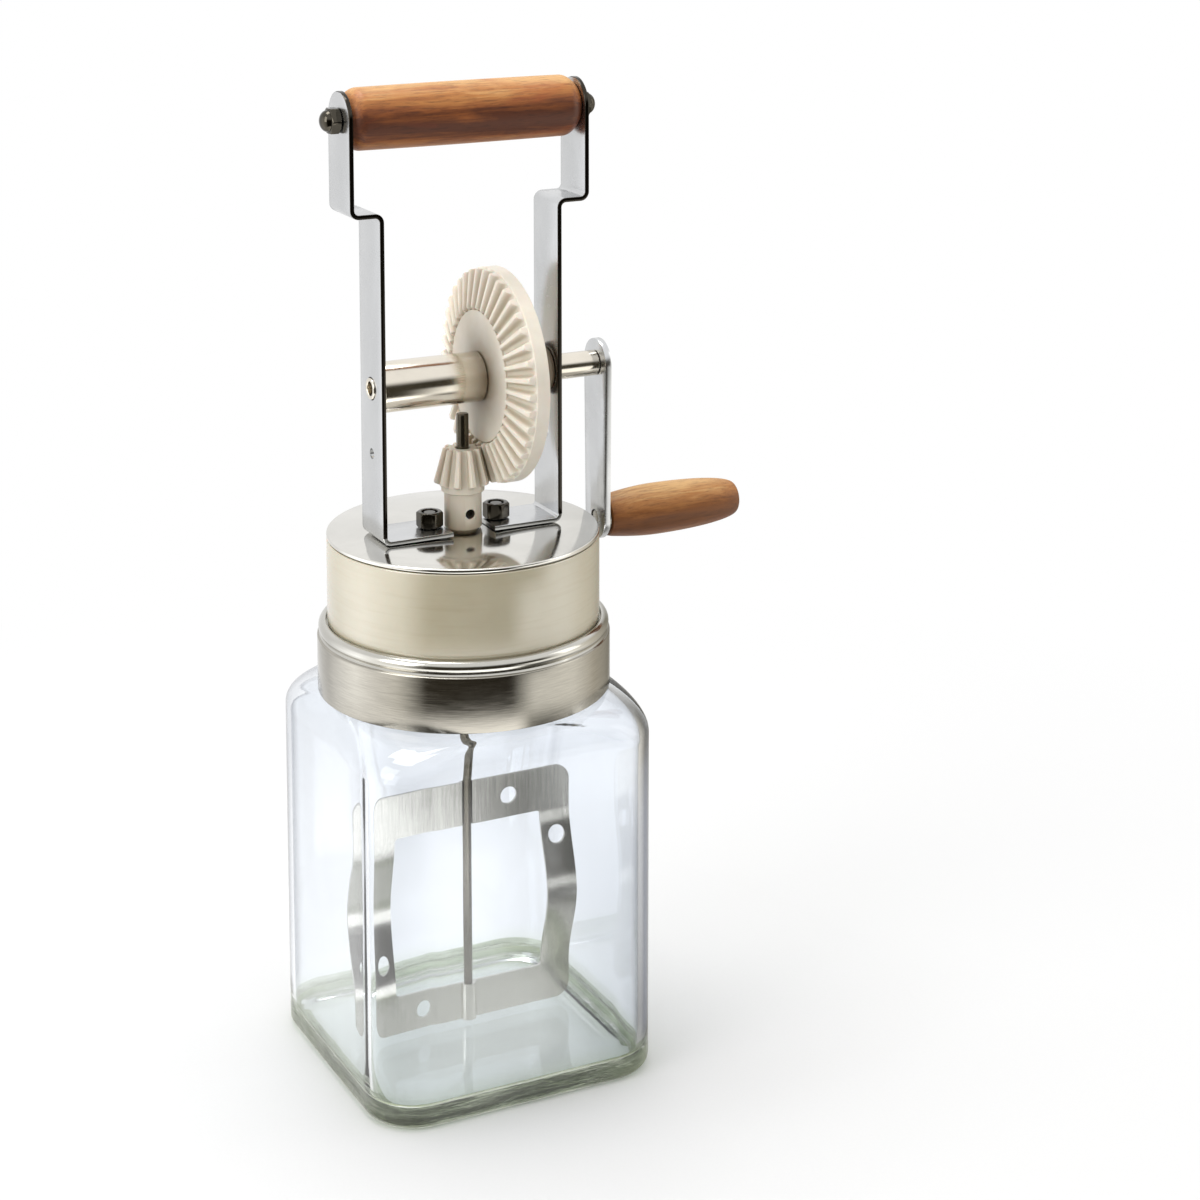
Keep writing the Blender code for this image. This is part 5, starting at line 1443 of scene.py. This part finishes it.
# What is seen through glass: white straight behind it, dim where its edges bend the view aside
BEYOND_GLASS = (
    (1.0, 1.0, 1.0),
    (-174, (1.0, 1.0, 1.0)),
    (-146, (0.3, 0.31, 0.3)),
    (-105, (0.2, 0.21, 0.19)),
    (-60, (0.62, 0.61, 0.57)),
    (45, (0.62, 0.61, 0.57)),
    (60, (0.2, 0.21, 0.19)),
    (98, (0.3, 0.31, 0.3)),
    (124, (1.0, 1.0, 1.0)),
)
WHITE = (1.0, 1.0, 1.0, 1.0)


def compass(parts):
    """Where a place lies round the Z axis, as a share of a full turn from the back."""
    south = times(parts["Y"], -1.0)
    return spread(math_node("ARCTAN2", parts["X"], south), -math.pi, math.pi)


def around(direction, table):
    """A colour by compass direction, from one of the tables."""
    behind, *between = table
    stops = [(0.0, (*behind, 1.0)), (1.0, (*behind, 1.0))]
    stops += [((degrees + 180) / 360, (*tint, 1.0)) for degrees, tint in between]
    return ramp(direction, stops)


def unmirrored(rays):
    """1 for a ray that has met no mirror on its way from the camera."""
    return math_node("LESS_THAN", rays["Glossy Depth"], 0.5)


def make_world():
    """Studio surroundings: white to the camera, a room to mirrors, and softer light from above."""
    world = bpy.data.worlds.new("studio")
    bpy.context.scene.world = world
    world.use_nodes = True
    tree = world.node_tree
    background = tree.nodes["Background"].inputs
    parts = split(add_node(tree, "ShaderNodeTexCoord").outputs["Generated"])
    direction = compass(parts)
    rays = add_node(tree, "ShaderNodeLightPath").outputs
    overhead = spread(parts["Z"], 0.22, 0.5)
    sky = mixed(overhead, around(direction, SKYLINE), (1.1, 1.1, 1.1, 1.0))
    bent = times(rays["Is Transmission Ray"], unmirrored(rays))
    sky = mixed(bent, sky, around(direction, BEYOND_GLASS))
    tree.links.new(mixed(rays["Is Camera Ray"], sky, WHITE), background["Color"])
    background["Strength"].default_value = 1.0


def make_lamp(name, place, target_z, size, energy, tint):
    """A soft rectangular lamp that faces the churn's axis at a height."""
    lamp = bpy.data.lights.new(name, "AREA")
    lamp.shape = "RECTANGLE"
    lamp.size, lamp.size_y = size
    lamp.energy = energy
    lamp.color = tint
    holder = linked(name, lamp)
    holder.location = place
    holder.rotation_mode = "QUATERNION"
    holder.rotation_quaternion = (Vector(place) - Vector((0, 0, target_z))).to_track_quat("Z", "Y")


def glow(tree, tint, strength=1.0):
    return add_node(tree, "ShaderNodeEmission", {"Color": tint, "Strength": strength}).outputs["Emission"]


def floor_look():
    """White with the churn's shadow to the camera, and the room's light and dark to mirrors and glass."""
    material, tree, shader = new_look("floor_white", Roughness=0.9, Specular_IOR_Level=0.0)
    place = object_place(tree)
    direction = compass(split(place))
    distance = node_after("ShaderNodeVectorMath", {0: place}, operation="LENGTH").outputs["Value"]
    rays = add_node(tree, "ShaderNodeLightPath").outputs
    through_glass = rays["Is Transmission Ray"]
    white = mixed(grain(tree, 900, 3, 0.5), (0.59, 0.59, 0.59, 1.0), (0.61, 0.61, 0.61, 1.0))
    feed(shader, Base_Color=mixed(rays["Is Diffuse Ray"], white, (0.4, 0.4, 0.4, 1.0)))

    # What the camera sees: the lit floor with a faint even glow and a brighter painted glow close to the jar
    # where it is seen through the glass, fading into a white backdrop
    lift = plus(times(through_glass, spread(distance, 0.05, 0.09, 0.2, 0.03)), 0.06)
    inputs = {0: shader.outputs["BSDF"], 1: glow(tree, WHITE, lift)}
    near_light = node_after("ShaderNodeAddShader", inputs).outputs["Shader"]
    lit = shader_mix(spread(distance, 0.16, 0.5), near_light, glow(tree, WHITE))

    # Dimmer where the glass bends the view aside, further off
    beyond = around(direction, BEYOND_GLASS)
    brightness = node_after("ShaderNodeSeparateColor", {"Color": beyond}).outputs["Red"]
    dim = times(math_node("SUBTRACT", 1.0, brightness), spread(distance, 0.1, 0.2))
    through = shader_mix(times(dim, through_glass), lit, glow(tree, beyond))

    # What mirrors see: the room, the skyline far off, and the near floor close by
    room = around(direction, ROOM)
    room = mixed(spread(distance, 0.8, 1.4), room, around(direction, SKYLINE))
    close = around(direction, NEAR_FLOOR)
    close = mixed(spread(distance, 0.05, 0.09, 1.0, 0.0), close, (0.85, 0.84, 0.81, 1.0))
    mirrored = mixed(spread(distance, 0.24, 0.33, 1.0, 0.0), room, close)
    plain = math_node("MAXIMUM", unmirrored(rays), rays["Is Diffuse Ray"])
    show(shader_mix(plain, glow(tree, mirrored), through))
    return material


def make_floor():
    half = 6
    mesh = bpy.data.meshes.new("floor")
    corners = [(-half, -half, 0), (half, -half, 0), (half, half, 0), (-half, half, 0)]
    mesh.from_pydata(corners, [], [(0, 1, 2, 3)])
    mesh.materials.append(floor_look())
    floor = linked("floor", mesh)


def make_studio():
    make_world()
    make_floor()
    make_lamp("left_box", (-1.3, -0.35, 0.75), 0.16, (0.7, 1.1), 8, (1.0, 1.0, 1.0))
    make_lamp("right_box", (1.3, -0.55, 0.7), 0.16, (0.5, 1.0), 1.8, (1.0, 0.98, 0.95))
    make_lamp("top_box", (-0.1, 0.25, 1.5), 0.15, (0.9, 0.6), 11, (1.0, 1.0, 1.0))
    bpy.context.scene.view_settings.view_transform = "Standard"


LOOKS = make_looks()
dress_jar()
dress_neck()
dress_band()
dress_uprights()
dress_fasteners()
dress_top_grip()
dress_crank()
dress_gears()
dress_paddle()
make_camera()
make_studio()
